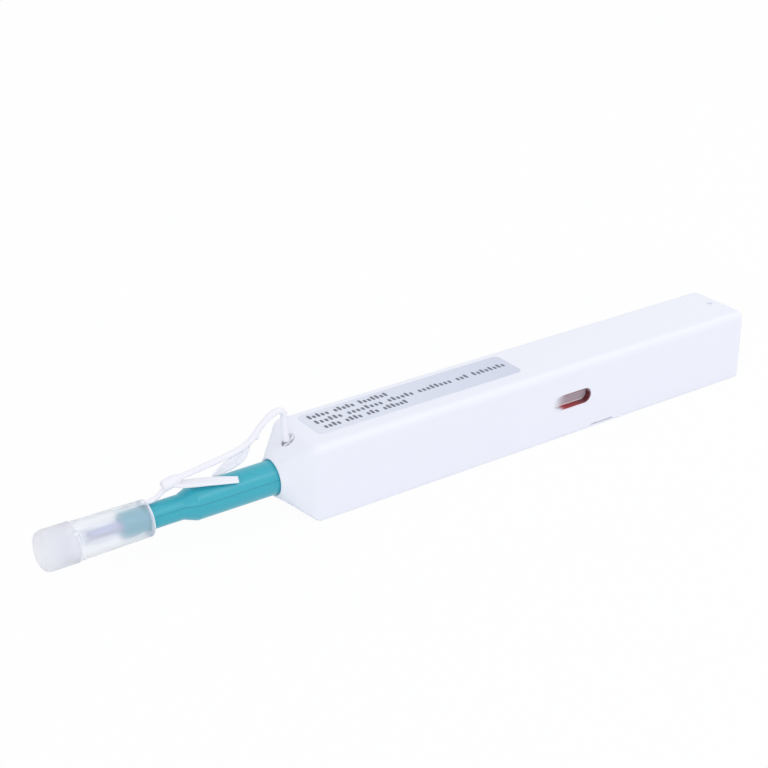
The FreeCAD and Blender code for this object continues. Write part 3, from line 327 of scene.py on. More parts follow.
# ---------------------------------------------------------------- finishes
ABS_IOR = 1.53
FROSTED_IOR = 1.2  # lower than the solid plastic's: a thin frosted wall bends light little
WHITE = (1.0, 1.0, 1.0, 1.0)


def new_finish(name):
    """Empty node material with its output and shader: (material, tree, shader)."""
    material = bpy.data.materials.get(name) or bpy.data.materials.new(name)
    material.use_nodes = True
    tree = material.node_tree
    tree.nodes.clear()
    shader = node(tree, "ShaderNodeBsdfPrincipled")
    node(tree, "ShaderNodeOutputMaterial", {"Surface": shader.outputs["BSDF"]})
    return material, tree, shader


def node(tree, kind, sockets=None, **settings):
    """Adds a node; a socket is given a value or, from another node's output, a link."""
    made = tree.nodes.new(kind)
    for name, value in settings.items():
        setattr(made, name, value)
    fill_sockets(made, sockets or {})
    return made


def fill_sockets(owner, sockets):
    for name, value in sockets.items():
        if isinstance(value, bpy.types.NodeSocket):
            owner.id_data.links.new(value, owner.inputs[name])
        else:
            owner.inputs[name].default_value = value


def set_sockets(shader, **values):
    """Fills the shader's sockets; an underscore stands for the space in a socket's name."""
    fill_sockets(shader, {name.replace("_", " "): value for name, value in values.items()})


def object_place(tree):
    return node(tree, "ShaderNodeTexCoord").outputs["Object"]


def coordinate(tree, place, axis):
    return node(tree, "ShaderNodeSeparateXYZ", {"Vector": place}).outputs[axis]


def stretched(tree, place, share):
    """Place whose X is shortened to a share, so that a texture on it is drawn out along the pen."""
    return node(tree, "ShaderNodeMapping", {"Vector": place, "Scale": (share, 1.0, 1.0)}).outputs["Vector"]


def scale_for(size_mm):
    """Texture scale whose features are this many millimetres across on coordinates in metres."""
    return 1 / (size_mm * MM)


def noise(tree, place, size_mm, detail=2.0):
    sockets = {"Vector": place, "Scale": scale_for(size_mm), "Detail": detail}
    return node(tree, "ShaderNodeTexNoise", sockets).outputs["Fac"]


def ramp(tree, value, start, end, first=0.0, last=1.0, smooth=False):
    """Goes from first to last while the value goes from start to end, and is level on either side."""
    sockets = {"Value": value, "From Min": start, "From Max": end, "To Min": first, "To Max": last}
    kind = "SMOOTHSTEP" if smooth else "LINEAR"
    return node(tree, "ShaderNodeMapRange", sockets, interpolation_type=kind).outputs["Result"]


def together(tree, operation, *values):
    """Values joined by one step of arithmetic."""
    return node(tree, "ShaderNodeMath", dict(enumerate(values)), operation=operation).outputs["Value"]


def tinted(tree, share, first, second):
    """Colour between the first and the second by a share."""
    return node(tree, "ShaderNodeMix", {"Factor": share, 6: first, 7: second}, data_type="RGBA").outputs[2]


def darker(tint, share):
    return tuple(c * (1 - share) for c in tint[:3]) + (1.0,)


def raised(tree, height, depth_mm, under=None):
    """Normal of a relief that stands this many millimetres high, laid over another normal if one is given."""
    sockets = {"Height": height, "Strength": 1.0, "Distance": depth_mm * MM}
    if under is not None:
        sockets["Normal"] = under
    return node(tree, "ShaderNodeBump", sockets).outputs["Normal"]


def grained(tree, shader, tint, grain_mm, grain_depth_mm, cloud_mm, cloud_share, roughness, spread):
    """Moulded surface: fine spark-eroded grain as relief, a slow tint cloud and a wandering roughness.

    Returns the object place, the clouded colour and the grain's normal.
    """
    place = object_place(tree)
    cloud = noise(tree, place, cloud_mm, 3.0)
    clouded = tinted(tree, cloud, darker(tint, cloud_share), tint)
    grain = raised(tree, noise(tree, place, grain_mm), grain_depth_mm)
    rough = ramp(tree, cloud, 0.3, 0.7, roughness - spread, roughness + spread)
    set_sockets(shader, Base_Color=clouded, Roughness=rough, Normal=grain)
    return place, clouded, grain


def white_abs(colours):
    """White ABS from a finely spark-eroded tool: an even, soft satin with a faint cool cast."""
    material, tree, shader = new_finish("satin_white_abs")
    grained(tree, shader, colours.case, 0.28, 0.004, 26.0, 0.012, 0.42, 0.03)
    set_sockets(shader, IOR=ABS_IOR)
    return material


def label_film(colours):
    """Matt polyester label film: blue-grey, greyer to the rear, with the orange-peel of its adhesive."""
    material, tree, shader = new_finish("matt_label_film")
    place = grained(tree, shader, colours.label, 1.1, 0.004, 14.0, 0.02, 0.5, 0.03)[0]
    rearward = ramp(tree, coordinate(tree, place, "X"), low("label")[0], high("label")[0])
    set_sockets(shader, Base_Color=tinted(tree, rearward, colours.label, colours.label_rear), IOR=1.5)
    return material


def print_ink(colours):
    """Screen-printed ink: matt grey, its edges a little ragged in tone."""
    material, tree, shader = new_finish("screen_print_ink")
    grained(tree, shader, colours.ink, 0.15, 0.002, 1.4, 0.16, 0.6, 0.04)
    return material


def red_liner(colours):
    """Red ABS liner, moulded in one shot with the case: pale, in the case's white, at its front end, and
    darkened with painted shade towards its far end.
    """
    material, tree, shader = new_finish("red_liner_abs")
    place = grained(tree, shader, colours.liner, 0.3, 0.003, 3.0, 0.08, 0.3, 0.03)[0]
    start, end = low("window_liner"), high("window_liner")
    middle = (start[2] + end[2]) / 2
    x = coordinate(tree, place, "X")
    streaks = noise(tree, stretched(tree, place, 0.3), 0.5)
    # Painted shade: the red darkens towards the rear end of the window, where its inside lies in shade; the
    # streaks are the plastic's own uneven tone.
    rearward = ramp(tree, x, end[0] - 7.0 * MM, end[0] - 1.0 * MM, 0.0, 0.75)
    dark = ramp(tree, together(tree, "ADD", rearward, streaks), 0.42, 0.95)
    upper = ramp(tree, coordinate(tree, place, "Z"), middle + 0.3 * MM, middle + 1.0 * MM, 0.0, 0.8)
    pale = ramp(tree, x, start[0] + 2.8 * MM, start[0] + 5.2 * MM, 1.0, 0.0, smooth=True)
    tint = tinted(tree, dark, colours.liner, colours.liner_rear_shade)
    tint = tinted(tree, upper, tint, colours.liner_upper)
    set_sockets(shader, Base_Color=tinted(tree, pale, tint, colours.case), IOR=ABS_IOR)
    return material


def window_pane(colours):
    """Tinted clear styrene pane: polished, streaked lengthwise, whiter towards its front end, and painted
    white along its low edge as a painted highlight.
    """
    material, tree, shader = new_finish("tinted_clear_styrene_pane")
    place = object_place(tree)
    start = low("window_pane")
    streaks = noise(tree, stretched(tree, place, 0.07), 0.55)
    # Whiter and less clear towards the pane's front end, in the case's white.
    whiter_front = ramp(tree, coordinate(tree, place, "X"), start[0], start[0] + 5.6 * MM, 1.3, 0.0, smooth=True)
    # Painted highlight: the pane's low edge is painted white for the bright line that light makes along it.
    edge = ramp(tree, coordinate(tree, place, "Z"), start[2] + 0.3 * MM, start[2] + 0.55 * MM, 0.9, 0.0,
                smooth=True)
    tint = tinted(tree, streaks, colours.pane, colours.pane_streak)
    tint = tinted(tree, whiter_front, tint, colours.case)
    clear = ramp(tree, together(tree, "MAXIMUM", whiter_front, edge), 0.0, 1.0, 0.45, 0.0)
    set_sockets(shader, Base_Color=tinted(tree, edge, tint, WHITE), Transmission_Weight=clear, IOR=1.3,
                Roughness=0.12)
    return material


def teal_abs(colours):
    """Teal ABS, moulded in a stoned tool: broad satin sheen, fine draw marks along X and a parting line, a
    step in relief with painted shade in darker teal along it.
    """
    material, tree, shader = new_finish("satin_teal_abs")
    place, clouded, grain = grained(tree, shader, colours.nozzle, 0.25, 0.003, 9.0, 0.05, 0.3, 0.03)
    z = coordinate(tree, place, "Z")
    marks = raised(tree, noise(tree, stretched(tree, place, 0.05), 0.35, 1.0), 0.004, grain)
    upper_half = ramp(tree, z, PARTING_Z - 0.2 * MM, PARTING_Z + 0.2 * MM, smooth=True)
    # Painted shade: a thin band of darker teal along the parting line, where its crease would be in shade.
    at_line = together(tree, "COMPARE", z, PARTING_Z, 0.15 * MM)
    line = together(tree, "MULTIPLY", at_line, 0.28)
    set_sockets(shader, Base_Color=tinted(tree, line, clouded, colours.parting), IOR=ABS_IOR,
                Normal=raised(tree, upper_half, 0.12, marks))
    return material


def frosted(name, node_name, tint, transmission, opacity):
    """Natural polypropylene from a frosted tool: light scatters in it, so what is inside blurs to a tint.

    The rim at the rear end of the piece is whiter, because light leaves the wall there.
    """
    material, tree, shader = new_finish(name)
    place = grained(tree, shader, tint, 0.3, 0.006, 6.0, 0.015, 0.42, 0.03)[0]
    rear = high(node_name)[0]
    rim = (coordinate(tree, place, "X"), rear - 0.55 * MM, rear - 0.25 * MM)
    set_sockets(shader, Transmission_Weight=ramp(tree, *rim, transmission, 0.1, smooth=True),
                Alpha=ramp(tree, *rim, opacity, 1.0, smooth=True), IOR=FROSTED_IOR)
    return material


def clear_elastomer(colours):
    """Clear soft elastomer: hazy, almost white where it is thick, with slow ripples from the mould."""
    material, tree, shader = new_finish("clear_soft_elastomer")
    grained(tree, shader, colours.strap, 1.6, 0.03, 5.0, 0.02, 0.3, 0.04)
    set_sockets(shader, IOR=1.25, Transmission_Weight=0.08)
    return material


def plain_moulding(name, tint, roughness, gloss=1.49):
    """Unpainted acetal, ABS or styrene inner moulding: an even tone with a waxy, slightly uneven sheen."""
    material, tree, shader = new_finish(name)
    grained(tree, shader, tint, 0.35, 0.005, 7.0, 0.05, roughness, 0.05)
    set_sockets(shader, IOR=gloss)
    return material


def drawn_steel(colours):
    """Bright drawn steel wire and ground pins: metal with fine scratches along X."""
    material, tree, shader = new_finish("drawn_steel")
    scratches = noise(tree, stretched(tree, object_place(tree), 0.08), 0.12, 4.0)
    set_sockets(shader, Base_Color=colours.steel, Metallic=1.0, Normal=raised(tree, scratches, 0.002),
                Roughness=ramp(tree, scratches, 0.0, 1.0, 0.22, 0.42))
    return material


def twisted_thread(colours):
    """Cleaning thread, twisted polyester microfibre: matt, with narrow slanted bands."""
    material, tree, shader = new_finish("twisted_thread")
    place = object_place(tree)
    slanted = node(tree, "ShaderNodeMapping", {"Vector": place, "Rotation": (0.5, 0.6, 0.4)})
    wave = {"Vector": slanted.outputs["Vector"], "Scale": scale_for(1.2), "Distortion": 2.0, "Detail": 2.0}
    bands = node(tree, "ShaderNodeTexWave", wave).outputs["Fac"]
    both = together(tree, "ADD", bands, noise(tree, place, 0.08))
    set_sockets(shader, Base_Color=tinted(tree, bands, darker(colours.thread, 0.2), colours.thread),
                Normal=raised(tree, both, 0.02), Roughness=0.85, Sheen_Weight=0.3)
    return material


def dress(finish, *names):
    """Gives CAD nodes a finish."""
    for name in names:
        mesh = frame["nodes"][name].data
        mesh.materials.clear()
        mesh.materials.append(finish)


# ---------------------------------------------------------------- operators, one for each group of pieces
class PEN_OT_dress_case(bpy.types.Operator):
    """Finish the white case, its cover and the blue-grey label film"""
    bl_idname = "pen.dress_case"
    bl_label = "Dress case"

    def execute(self, context):
        colours = context.scene.pen_colours
        dress(white_abs(colours), "case_shell", "bottom_cover")
        dress(label_film(colours), "label")
        return {"FINISHED"}


class PEN_OT_print_label(bpy.types.Operator):
    """Print rows of plain blocks on the label, in groups"""
    bl_idname = "pen.print_label"
    bl_label = "Print label"

    # Each row: foot of its blocks from the label's middle, start behind the film's front edge, block pitch
    # as a share of the usual one, lengths of its groups.
    ROWS = (
        (2.4, 2.0, 1.02, (5, 5, 7)),
        (-0.75, 2.2, 1.09, (6, 8, 6, 8, 3, 8)),
        (-3.75, 2.9, 1.01, (4, 4, 3, 6)),
    )
    TALL_SHARE = 0.32  # of the blocks

    def execute(self, context):
        sizes = context.scene.pen_sizes
        start, end = low("label"), high("label")
        random = np.random.default_rng(4)
        lefts, feet, heights = [], [], []
        for foot, indent, spread, groups in self.ROWS:
            pitch = sizes.block_pitch * spread
            begins = indent + pitch * np.cumsum([0] + [count + 1 for count in groups[:-1]])
            places = np.concatenate([begin + pitch * np.arange(count)
                                     for begin, count in zip(begins, groups)])
            lefts.append(places)
            feet.append(np.full(len(places), foot))
            heights.append(random.choice((sizes.block_low, sizes.block_height), len(places),
                                         p=(1 - self.TALL_SHARE, self.TALL_SHARE)))
        points, faces = self.blocks(np.concatenate(lefts), np.concatenate(feet), np.concatenate(heights),
                                    sizes.block_width)
        points[:, 2] *= sizes.ink_height
        points = points * MM + np.array((start[0], (start[1] + end[1]) / 2, end[2]))
        piece("label_print", (points, faces), print_ink(context.scene.pen_colours), "case",
              smooth=False)
        return {"FINISHED"}

    @staticmethod
    def blocks(lefts, feet, heights, width, corners=12):
        """Upright rounded blocks: every outline is a superellipse of its own height, pushed up by one."""
        angle = (np.arange(corners) + 0.5) * 2 * math.pi / corners
        a = np.sign(np.cos(angle)) * np.abs(np.cos(angle)) ** 0.6
        b = np.sign(np.sin(angle)) * np.abs(np.sin(angle)) ** 0.6
        x = lefts[:, None] + (a + 1) * width / 2
        y = feet[:, None] + (b + 1) * heights[:, None] / 2
        flat = np.stack([x, y], -1)
        levels = [np.concatenate([flat, np.full(x.shape + (1,), level)], -1) for level in (0.0, 1.0)]
        points = np.stack(levels, 1).reshape(-1, 3)
        block = np.arange(len(lefts))[:, None, None] * 2 * corners
        side = block + quads(2, corners)[None]
        faces = side.reshape(-1, 4).tolist()
        top = (block[:, 0] + corners + np.arange(corners)[None]).tolist()
        bottom = (block[:, 0] + np.arange(corners)[::-1][None]).tolist()
        return points, faces + top + bottom


class PEN_OT_dress_window(bpy.types.Operator):
    """Finish the red window liner and its pane"""
    bl_idname = "pen.dress_window"
    bl_label = "Dress window"

    def execute(self, context):
        colours = context.scene.pen_colours
        dress(red_liner(colours), "window_liner")
        dress(window_pane(colours), "window_pane")
        return {"FINISHED"}


class PEN_OT_wind_thread(bpy.types.Operator):
    """Wind the thread on both reels and lay its runs round the rollers to the spindle"""
    bl_idname = "pen.wind_thread"
    bl_label = "Wind thread"

    def execute(self, context):
        scene = context.scene
        thread = twisted_thread(scene.pen_colours)
        pitch = scene.pen_sizes.thread_pitch * MM
        for name, node_name, body in (("supply_winding", "supply_thread", "supply_reel"),
                                      ("takeup_winding", "takeup_thread", "takeup_reel")):
            wound = piece(name, self.winding(node_name, pitch), thread, body)
            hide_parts(node_name)
        self.lay_line("feed_line", "thread_feed_run", "feed_roller", -1, None, thread)
        self.lay_line("return_line", "thread_return_run", "return_roller", 1, "takeup_thread", thread)
        dress(thread, "tip_thread")
        return {"FINISHED"}

    @staticmethod
    def winding(node_name, pitch, columns=144, turn_steps=8):
        """Wound ring: its outside is a row of half-round turns, each leaning by one pitch as it goes round.

        The radius dips by a share of the pitch between turns, and a little more at both ends of the ring.
        """
        groove_share, end_share = 0.35, 0.3
        bottom, top = low(node_name), high(node_name)
        centre, outer = (bottom + top) / 2, (top[0] - bottom[0]) / 2
        hub = HUB_RADIUS * MM
        turns = max(1, round((top[2] - bottom[2]) / pitch))
        pitch = (top[2] - bottom[2]) / turns
        angle = np.linspace(0, 2 * math.pi, columns, endpoint=False)[None, :]
        z = np.linspace(bottom[2], top[2], turns * turn_steps + 1)[:, None]
        phase = (z - bottom[2]) / pitch + angle / (2 * math.pi)
        edge = np.clip(np.minimum(z - bottom[2], top[2] - z) / pitch, 0, 1) ** 0.5
        groove = pitch * groove_share * (1 - np.abs(np.sin(math.pi * phase)))
        radius = outer - groove - (1 - edge) * pitch * end_share
        outside = np.stack([centre[0] + radius * np.cos(angle), centre[1] + radius * np.sin(angle),
                            z + 0 * angle], -1)
        inner = np.stack([centre[0] + hub * np.cos(angle[0]), centre[1] + hub * np.sin(angle[0])], -1)
        rings = [np.concatenate([inner, np.full((columns, 1), level)], -1) for level in (top[2], bottom[2])]
        grid = np.concatenate([outside, np.array(rings)], 0)
        return grid.reshape(-1, 3), quads(len(grid), columns, wrap_rows=True).tolist()

    @staticmethod
    def lay_line(name, node_name, roller, side, pack, finish):
        """Thread as a straight, an arc round its roller and a straight.

        Its side of the pen is given as the sign of Y. With a pack, it goes on from its rear end and meets the
        pack's rim at a tangent.
        """
        bottom, top = low(node_name), high(node_name)
        half = (top[2] - bottom[2]) / 2
        centre = ((low(roller) + high(roller)) / 2)[:2]
        wrap = (high(roller)[0] - low(roller)[0]) / 2 + half + THREAD_GAP
        outer, inner = (bottom[1], top[1]) if side < 0 else (top[1], bottom[1])
        front = np.array((bottom[0] + THREAD_INSET, inner + side * half))
        rear = np.array((high("supply_reel")[0] if pack else top[0], outer - side * half))
        onto_pack = []
        if pack:
            middle, radius = (low(pack) + high(pack)) / 2, (high(pack)[0] - low(pack)[0]) / 2
            end = tangent_point(rear, middle[:2], radius + half + THREAD_GAP, side)
            onto_pack = [end + (rear - end) * share for share in np.linspace(0, 1, 12)[:-1]]
        first, last = tangent_point(rear, centre, wrap, side), tangent_point(front, centre, wrap, side)
        turns = [math.atan2(*(place - centre)[::-1]) for place in (first, last)]
        turns = np.linspace(*np.unwrap(turns), 9)[1:-1, None]
        arc = centre + wrap * np.concatenate([np.cos(turns), np.sin(turns)], -1)
        path = np.vstack([*onto_pack, np.linspace(rear, first, 16), arc, np.linspace(last, front, 60)])
        path = np.column_stack([path, np.full(len(path), (bottom[2] + top[2]) / 2)])
        line = piece(name, swept(path, [half], [half], [0.0], columns=10), finish)
        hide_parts(node_name)
        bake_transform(line)


class PEN_OT_dress_nozzle(bpy.types.Operator):
    """Finish the teal nozzle"""
    bl_idname = "pen.dress_nozzle"
    bl_label = "Dress nozzle"

    def execute(self, context):
        dress(teal_abs(context.scene.pen_colours), "nozzle_tube")
        return {"FINISHED"}


class PEN_OT_dress_cap(bpy.types.Operator):
    """Finish the frosted guide cap and the milky end lid"""
    bl_idname = "pen.dress_cap"
    bl_label = "Dress cap"

    def execute(self, context):
        colours = context.scene.pen_colours
        for name, node_name, tint, transmission, opacity in (
                ("frosted_polypropylene", "guide_cap_sleeve", colours.sleeve, 0.64, 0.53),
                ("milky_polypropylene", "end_lid", colours.lid, 0.5, 0.7)):
            dress(frosted(name, node_name, tint, transmission, opacity), node_name)
        return {"FINISHED"}


class PEN_OT_dress_mechanism(bpy.types.Operator):
    """Finish the spindle, the frame, the gears, the reels, the pins and the spring's rod"""
    bl_idname = "pen.dress_mechanism"
    bl_label = "Dress mechanism"

    def execute(self, context):
        colours = context.scene.pen_colours
        dress(plain_moulding("lilac_grey_acetal", colours.spindle, 0.4), "spindle", "cleaning_tip")
        dress(plain_moulding("natural_acetal", colours.acetal, 0.38), "carriage", "rack_bar", "drive_gear",
              "feed_roller", "return_roller")
        dress(plain_moulding("dark_acetal", colours.dark_acetal, 0.35), "cam_barrel", "ratchet_pawl")
        dress(plain_moulding("grey_frame_abs", colours.frame, 0.5, ABS_IOR), "inner_frame")
        dress(plain_moulding("tinted_clear_styrene", colours.reel, 0.2, 1.59), "supply_reel", "takeup_reel")
        dress(drawn_steel(colours), "supply_axle", "takeup_axle", "roller_pins", "pawl_pin", "cam_pin",
              "spring_rod")
        return {"FINISHED"}


class PEN_OT_coil_spring(bpy.types.Operator):
    """Coil the return spring from round wire"""
    bl_idname = "pen.coil_spring"
    bl_label = "Coil spring"

    def execute(self, context):
        bottom, top = low("return_spring"), high("return_spring")
        finish = drawn_steel(context.scene.pen_colours)
        shape = self.coil(bottom, top, context.scene.pen_sizes)
        spring = piece("spring_coil", shape, finish, "case")
        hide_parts("return_spring")
        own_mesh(spring)
        return {"FINISHED"}

    @staticmethod
    def coil(bottom, top, sizes, columns=12, steps=32):
        """Wire carried along a helix about X: x grows with the turn, y and z go round a circle."""
        half = sizes.spring_wire / 2 * MM
        radius = (top[2] - bottom[2]) / 2 - half
        turns = sizes.spring_turns
        turn = np.linspace(0, 2 * math.pi * turns, turns * steps + 1)[:, None]
        out = np.concatenate([0 * turn, np.cos(turn), np.sin(turn)], -1)
        rise = (top[0] - bottom[0] - 2 * half) / turn[-1, 0]
        along = unit(np.concatenate([rise + 0 * turn, -radius * np.sin(turn), radius * np.cos(turn)], -1))
        side = np.cross(along, out)
        path = out * radius + (bottom + top) / 2
        path[:, :1] = bottom[0] + half + turn * rise
        angle = np.linspace(0, 2 * math.pi, columns, endpoint=False)[None, :, None]
        section = out[:, None] * np.cos(angle) + side[:, None] * np.sin(angle)
        return closed_stack(path[:, None] + half * section)


class PEN_OT_mould_strap(bpy.types.Operator):
    """Mould the soft tether strap: eye ring, strand, bead, leaf, head, neck and flat tab"""
    bl_idname = "pen.mould_strap"
    bl_label = "Mould strap"

    # Routes: (distance in front of the shoulder, height above the label face, place across) in millimetres.
    EYE = (2.9, -2.23)
    SPLIT = (25.7, -1.5)  # middle of the overlap between the half on the nozzle and the half to the cap
    LOOP = ((3.2, -1.6, 0.1), (3.7, 0.7, 0.35), (3.75, 3.6, 0.35), (3.7, 5.7, 0.2), (4.9, 6.95), (7.0, 6.6),
            (9.2, 5.15), (11.0, 3.45), (12.8, 1.65), (15.2, 0.3), (18.1, -0.4), (21.6, -1.0), (26.2, -1.57))
    BEAD = (11.4, 1.9)
    LEAF = ((13.4, 0.3), (15.6, -1.9), (18.4, -3.0), (21.2, -3.9), (23.6, -4.9))
    HEAD = (35.0, -3.1)
    REAR = ((25.2, -1.43), (29.2, -2.0), (32.3, -2.35), HEAD)
    NECK = (HEAD, (36.3, -4.4), (37.5, -5.3), (39.0, -5.95), (40.6, -6.0), (42.0, -5.75))
    TAB = ((34.4, -3.3, -0.1), (31.0, -4.0, -0.6), (24.5, -4.95, -1.6), (18.3, -5.95, -2.9))
    # Millimetres: half-widths and half-heights along the leaf, (distance along, radius) of the knob.
    RING_RADIUS, RING_THICKNESS, BEAD_RADIUS = 0.85, 0.5, 0.75
    LEAF_WIDTHS, LEAF_HEIGHTS = np.array(((0.3, 0.45, 0.5, 0.45, 0.25), (0.5, 1.45, 1.6, 1.15, 0.35)))
    KNOB = np.array(((-1.1, 0.5), (-0.9, 0.8), (-1.35, 1.1), (-1.1, 1.4), (1.6, 1.4), (2.6, 1.1), (3.6, 0.8)))
    TAB_KEEP = 0.6  # share of the tab's length that is left at the full stroke

    @staticmethod
    def at(place):
        """Point of a route in the frame; a third number is its place across the pen."""
        ahead, up, side = (tuple(place) + (0.0,))[:3]
        return np.array((SHOULDER - ahead * MM, side * MM, LABEL_FACE + up * MM))

    def path(self, route, count):
        return smooth_path([self.at(place) for place in route], count)

    def execute(self, context):
        sizes = context.scene.pen_sizes
        finish = clear_elastomer(context.scene.pen_colours)
        half = sizes.strand_width / 2 * MM
        split, head = self.at(self.SPLIT), self.at(self.HEAD)
        # From the eye over the nose to the middle of the strand.
        loop = swept(self.path(self.LOOP, 110), np.array((1.1, 1.15, 1.1, 1.0, 1.0, 1.0, 0.98)) * half,
                     np.array((1.15, 1.15, 1.05, 1.0, 1.0, 1.0, 0.95)) * half, [0.0])
        ring = ring_shape(self.at(self.EYE), (1, 0, 0.5), self.RING_RADIUS * MM, self.RING_THICKNESS * MM)
        ball = np.linspace(0, math.pi, 15)
        bead = revolved(self.at(self.BEAD), (0, 1, 0),
                        np.stack([-np.cos(ball), np.sin(ball)], -1) * self.BEAD_RADIUS * MM)
        leaf = swept(self.path(self.LEAF, 40), self.LEAF_WIDTHS * MM, self.LEAF_HEIGHTS * MM, [0.0],
                     columns=28, dish=0.6)
        eye_strand = moulded_together("strap_eye_strand", [loop, ring, bead, leaf], sizes.remesh * MM, 4,
                                      finish)
        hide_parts("tether_strap")
        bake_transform(eye_strand)
        # From there to the head, and the neck down to the cap's rim.
        rear = swept(self.path(self.REAR, 30),
                     np.array((0.98, 0.9, 0.85)) * half, np.array((0.95, 0.88, 0.85)) * half, [0.0])
        neck = swept(self.path(self.NECK, 30), np.array((0.8, 0.8, 0.9)) * half,
                     np.array((0.8, 0.75, 0.7)) * half, [0.0])
        knob = revolved(head, (1, 0, 0.25), self.KNOB * MM)
        head_strand = moulded_together("strap_head_strand", [rear, neck, knob], sizes.remesh * MM, 4, finish)
        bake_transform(head_strand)
        # Flat tab that lies along the nozzle and leans to the window side.
        half_width, half_thickness = sizes.tab_width / 2 * MM, sizes.tab_thickness / 2 * MM
        flat = swept(self.path(self.TAB, 60), np.array((0.8, 1.0, 1.0, 0.85, 0.62)) * half_width,
                     np.array((1.0, 1.0, 0.85, 0.7, 0.55)) * half_thickness,
                     [0.0, 0.12, 0.24, 0.42, 0.6], columns=28, squareness=4.0)
        strap_tab = piece("strap_tab", flat, finish, "guide_cap")
        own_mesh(strap_tab)
        return {"FINISHED"}


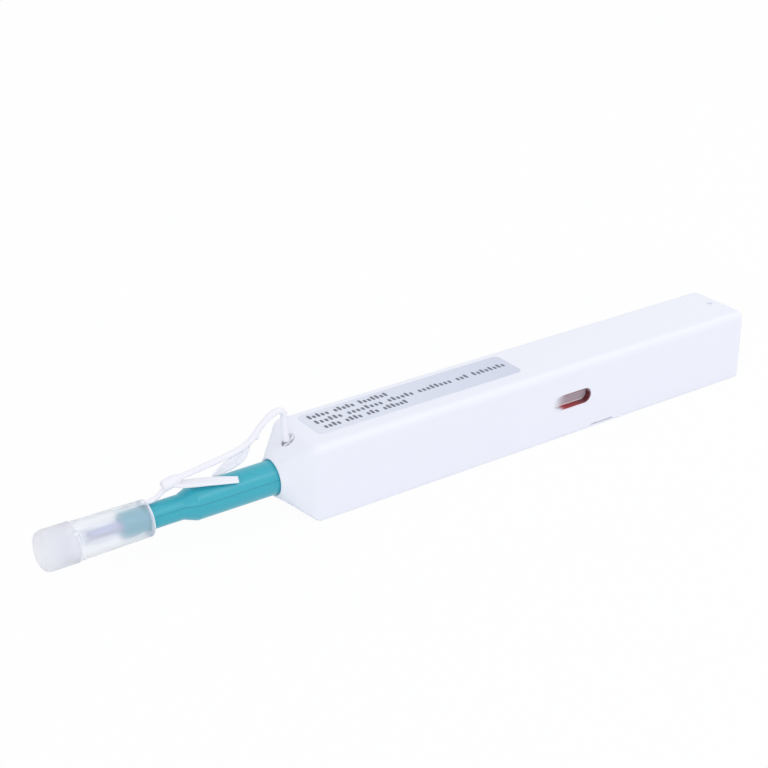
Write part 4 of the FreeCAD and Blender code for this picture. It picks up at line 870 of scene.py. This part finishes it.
class PEN_OT_set_stage(bpy.types.Operator):
    """Lay the white floor, hang the soft lamps and set the camera"""
    bl_idname = "pen.set_stage"
    bl_label = "Set stage"

    # Metres: each lamp's place from the pen's middle, its width and height.
    SIDE_PLACE, SIDE_SIZE = Vector((-0.75, -0.7, 0.2)), (0.9, 0.6)
    STRIP_PLACE, STRIP_SIZE = Vector((0.3, -0.34, 0.5)), (1.1, 0.1)
    FLOOR_REACH = 2.5
    FLOOR_GAP = 0.02 * MM  # under the base, so that the two don't share a plane

    def execute(self, context):
        stage = context.scene.pen_stage
        self.floor(stage)
        self.world(context.scene, stage)
        middle = (Vector(cad_box[0]) + Vector(cad_box[1])) / 2
        self.lamp("side_lamp", middle + self.SIDE_PLACE, middle, self.SIDE_SIZE, stage.side_power)
        self.lamp("strip_lamp", middle + self.STRIP_PLACE, middle, self.STRIP_SIZE, stage.strip_power)
        self.camera(context.scene, stage, middle)
        return {"FINISHED"}

    @staticmethod
    def white_for_camera(tree, lit, glow):
        """Mixes a lit surface with plain white for the rays that show the background."""
        ray = node(tree, "ShaderNodeLightPath").outputs
        through = together(tree, "MAXIMUM", ray["Is Glossy Ray"], ray["Is Transmission Ray"])
        direct = together(tree, "MULTIPLY", ray["Is Camera Ray"], glow)
        share = together(tree, "MAXIMUM", direct, through)
        white = node(tree, "ShaderNodeEmission", {"Color": WHITE, "Strength": 1.0})
        return node(tree, "ShaderNodeMixShader", {0: share, 1: lit, 2: white.outputs["Emission"]})

    def floor(self, stage):
        """Pale paper floor, a hair under the pen's base."""
        material = bpy.data.materials.new("white_paper_floor")
        material.use_nodes = True
        tree = material.node_tree
        tree.nodes.clear()
        paper = node(tree, "ShaderNodeBsdfDiffuse", {"Color": stage.paper, "Roughness": 0.5})
        mixed = self.white_for_camera(tree, paper.outputs["BSDF"], stage.floor_glow)
        node(tree, "ShaderNodeOutputMaterial", {"Surface": mixed.outputs["Shader"]})
        reach, level = self.FLOOR_REACH, cad_box[0][2] - self.FLOOR_GAP
        points = [(x * reach, y * reach, level) for x, y in ((-1, -1), (1, -1), (1, 1), (-1, 1))]
        mesh = bpy.data.meshes.new("paper_floor")
        mesh.from_pydata(points, [], [(0, 1, 2, 3)])
        mesh.materials.append(material)
        ground = bpy.data.objects.new("paper_floor", mesh)
        bpy.context.scene.collection.objects.link(ground)

    def world(self, scene, stage):
        """Even white surroundings: a fill light on surfaces, plain white where they are seen."""
        world = bpy.data.worlds.new("white_room")
        world.use_nodes = True
        tree = world.node_tree
        tree.nodes.clear()
        ray = node(tree, "ShaderNodeLightPath").outputs
        seen = together(tree, "MAXIMUM", ray["Is Camera Ray"], ray["Is Glossy Ray"])
        seen = together(tree, "MAXIMUM", seen, ray["Is Transmission Ray"])
        fill = node(tree, "ShaderNodeBackground", {"Color": stage.room, "Strength": stage.fill})
        white = node(tree, "ShaderNodeBackground", {"Color": WHITE, "Strength": 1.0})
        mixed = node(tree, "ShaderNodeMixShader", {0: seen, 1: fill.outputs["Background"],
                                                   2: white.outputs["Background"]})
        node(tree, "ShaderNodeOutputWorld", {"Surface": mixed.outputs["Shader"]})
        scene.world = world

    @staticmethod
    def lamp(name, place, aim, size, power):
        """Soft box of a width along X and a height that faces the pen."""
        light = bpy.data.lights.new(name, "AREA")
        light.shape = "RECTANGLE"
        light.size, light.size_y = size
        light.energy = power
        thing = bpy.data.objects.new(name, light)
        thing.location = place
        thing.rotation_euler = (Vector(aim) - Vector(place)).to_track_quat("-Z", "Y").to_euler()
        bpy.context.scene.collection.objects.link(thing)

    @staticmethod
    def camera(scene, stage, middle):
        """Camera behind its aim point by azimuth, elevation and distance, rolled about its axis."""
        a, e, r = stage.azimuth, stage.elevation, stage.roll
        back = Vector((math.sin(a) * math.cos(e), -math.cos(a) * math.cos(e), math.sin(e)))
        level = Vector((math.cos(a), math.sin(a), 0))
        upward = back.cross(level)
        right = level * math.cos(r) + upward * math.sin(r)
        up = upward * math.cos(r) - level * math.sin(r)
        lens = bpy.data.cameras.new("bench_camera")
        lens.sensor_width = 36
        lens.lens = stage.lens
        thing = bpy.data.objects.new("bench_camera", lens)
        place = middle + Vector(stage.aim) + back * stage.distance
        thing.matrix_world = Matrix.Translation(place) @ Matrix((right, up, back)).transposed().to_4x4()
        scene.collection.objects.link(thing)
        scene.camera = thing
        scene.view_settings.view_transform = "Standard"


OPERATORS = (
    PEN_OT_dress_case,
    PEN_OT_print_label,
    PEN_OT_dress_window,
    PEN_OT_wind_thread,
    PEN_OT_dress_nozzle,
    PEN_OT_dress_cap,
    PEN_OT_dress_mechanism,
    PEN_OT_coil_spring,
    PEN_OT_mould_strap,
    PEN_OT_set_stage,
)


class PEN_PT_sidebar(bpy.types.Panel):
    """Lists the pen's steps and settings"""
    bl_label = "Cleaning Pen"
    bl_idname = "PEN_PT_sidebar"
    bl_space_type = "VIEW_3D"
    bl_region_type = "UI"
    bl_category = "Cleaning Pen"

    def draw(self, context):
        for operator in OPERATORS:
            self.layout.operator(operator.bl_idname)
        for group in (context.scene.pen_colours, context.scene.pen_sizes, context.scene.pen_stage):
            column = self.layout.column()
            for name in group.__annotations__:
                column.prop(group, name)


CLASSES = (PenColours, PenSizes, PenStage) + OPERATORS + (PEN_PT_sidebar,)


def register():
    for item in CLASSES:
        bpy.utils.register_class(item)
    bpy.types.Scene.pen_colours = bpy.props.PointerProperty(type=PenColours)
    bpy.types.Scene.pen_sizes = bpy.props.PointerProperty(type=PenSizes)
    bpy.types.Scene.pen_stage = bpy.props.PointerProperty(type=PenStage)


def unregister():
    for name in ("pen_stage", "pen_sizes", "pen_colours"):
        delattr(bpy.types.Scene, name)
    for item in reversed(CLASSES):
        bpy.utils.unregister_class(item)


def main():
    register()
    for operator in OPERATORS:
        group, name = operator.bl_idname.split(".")
        getattr(getattr(bpy.ops, group), name)()


if __name__ == "__main__":
    main()
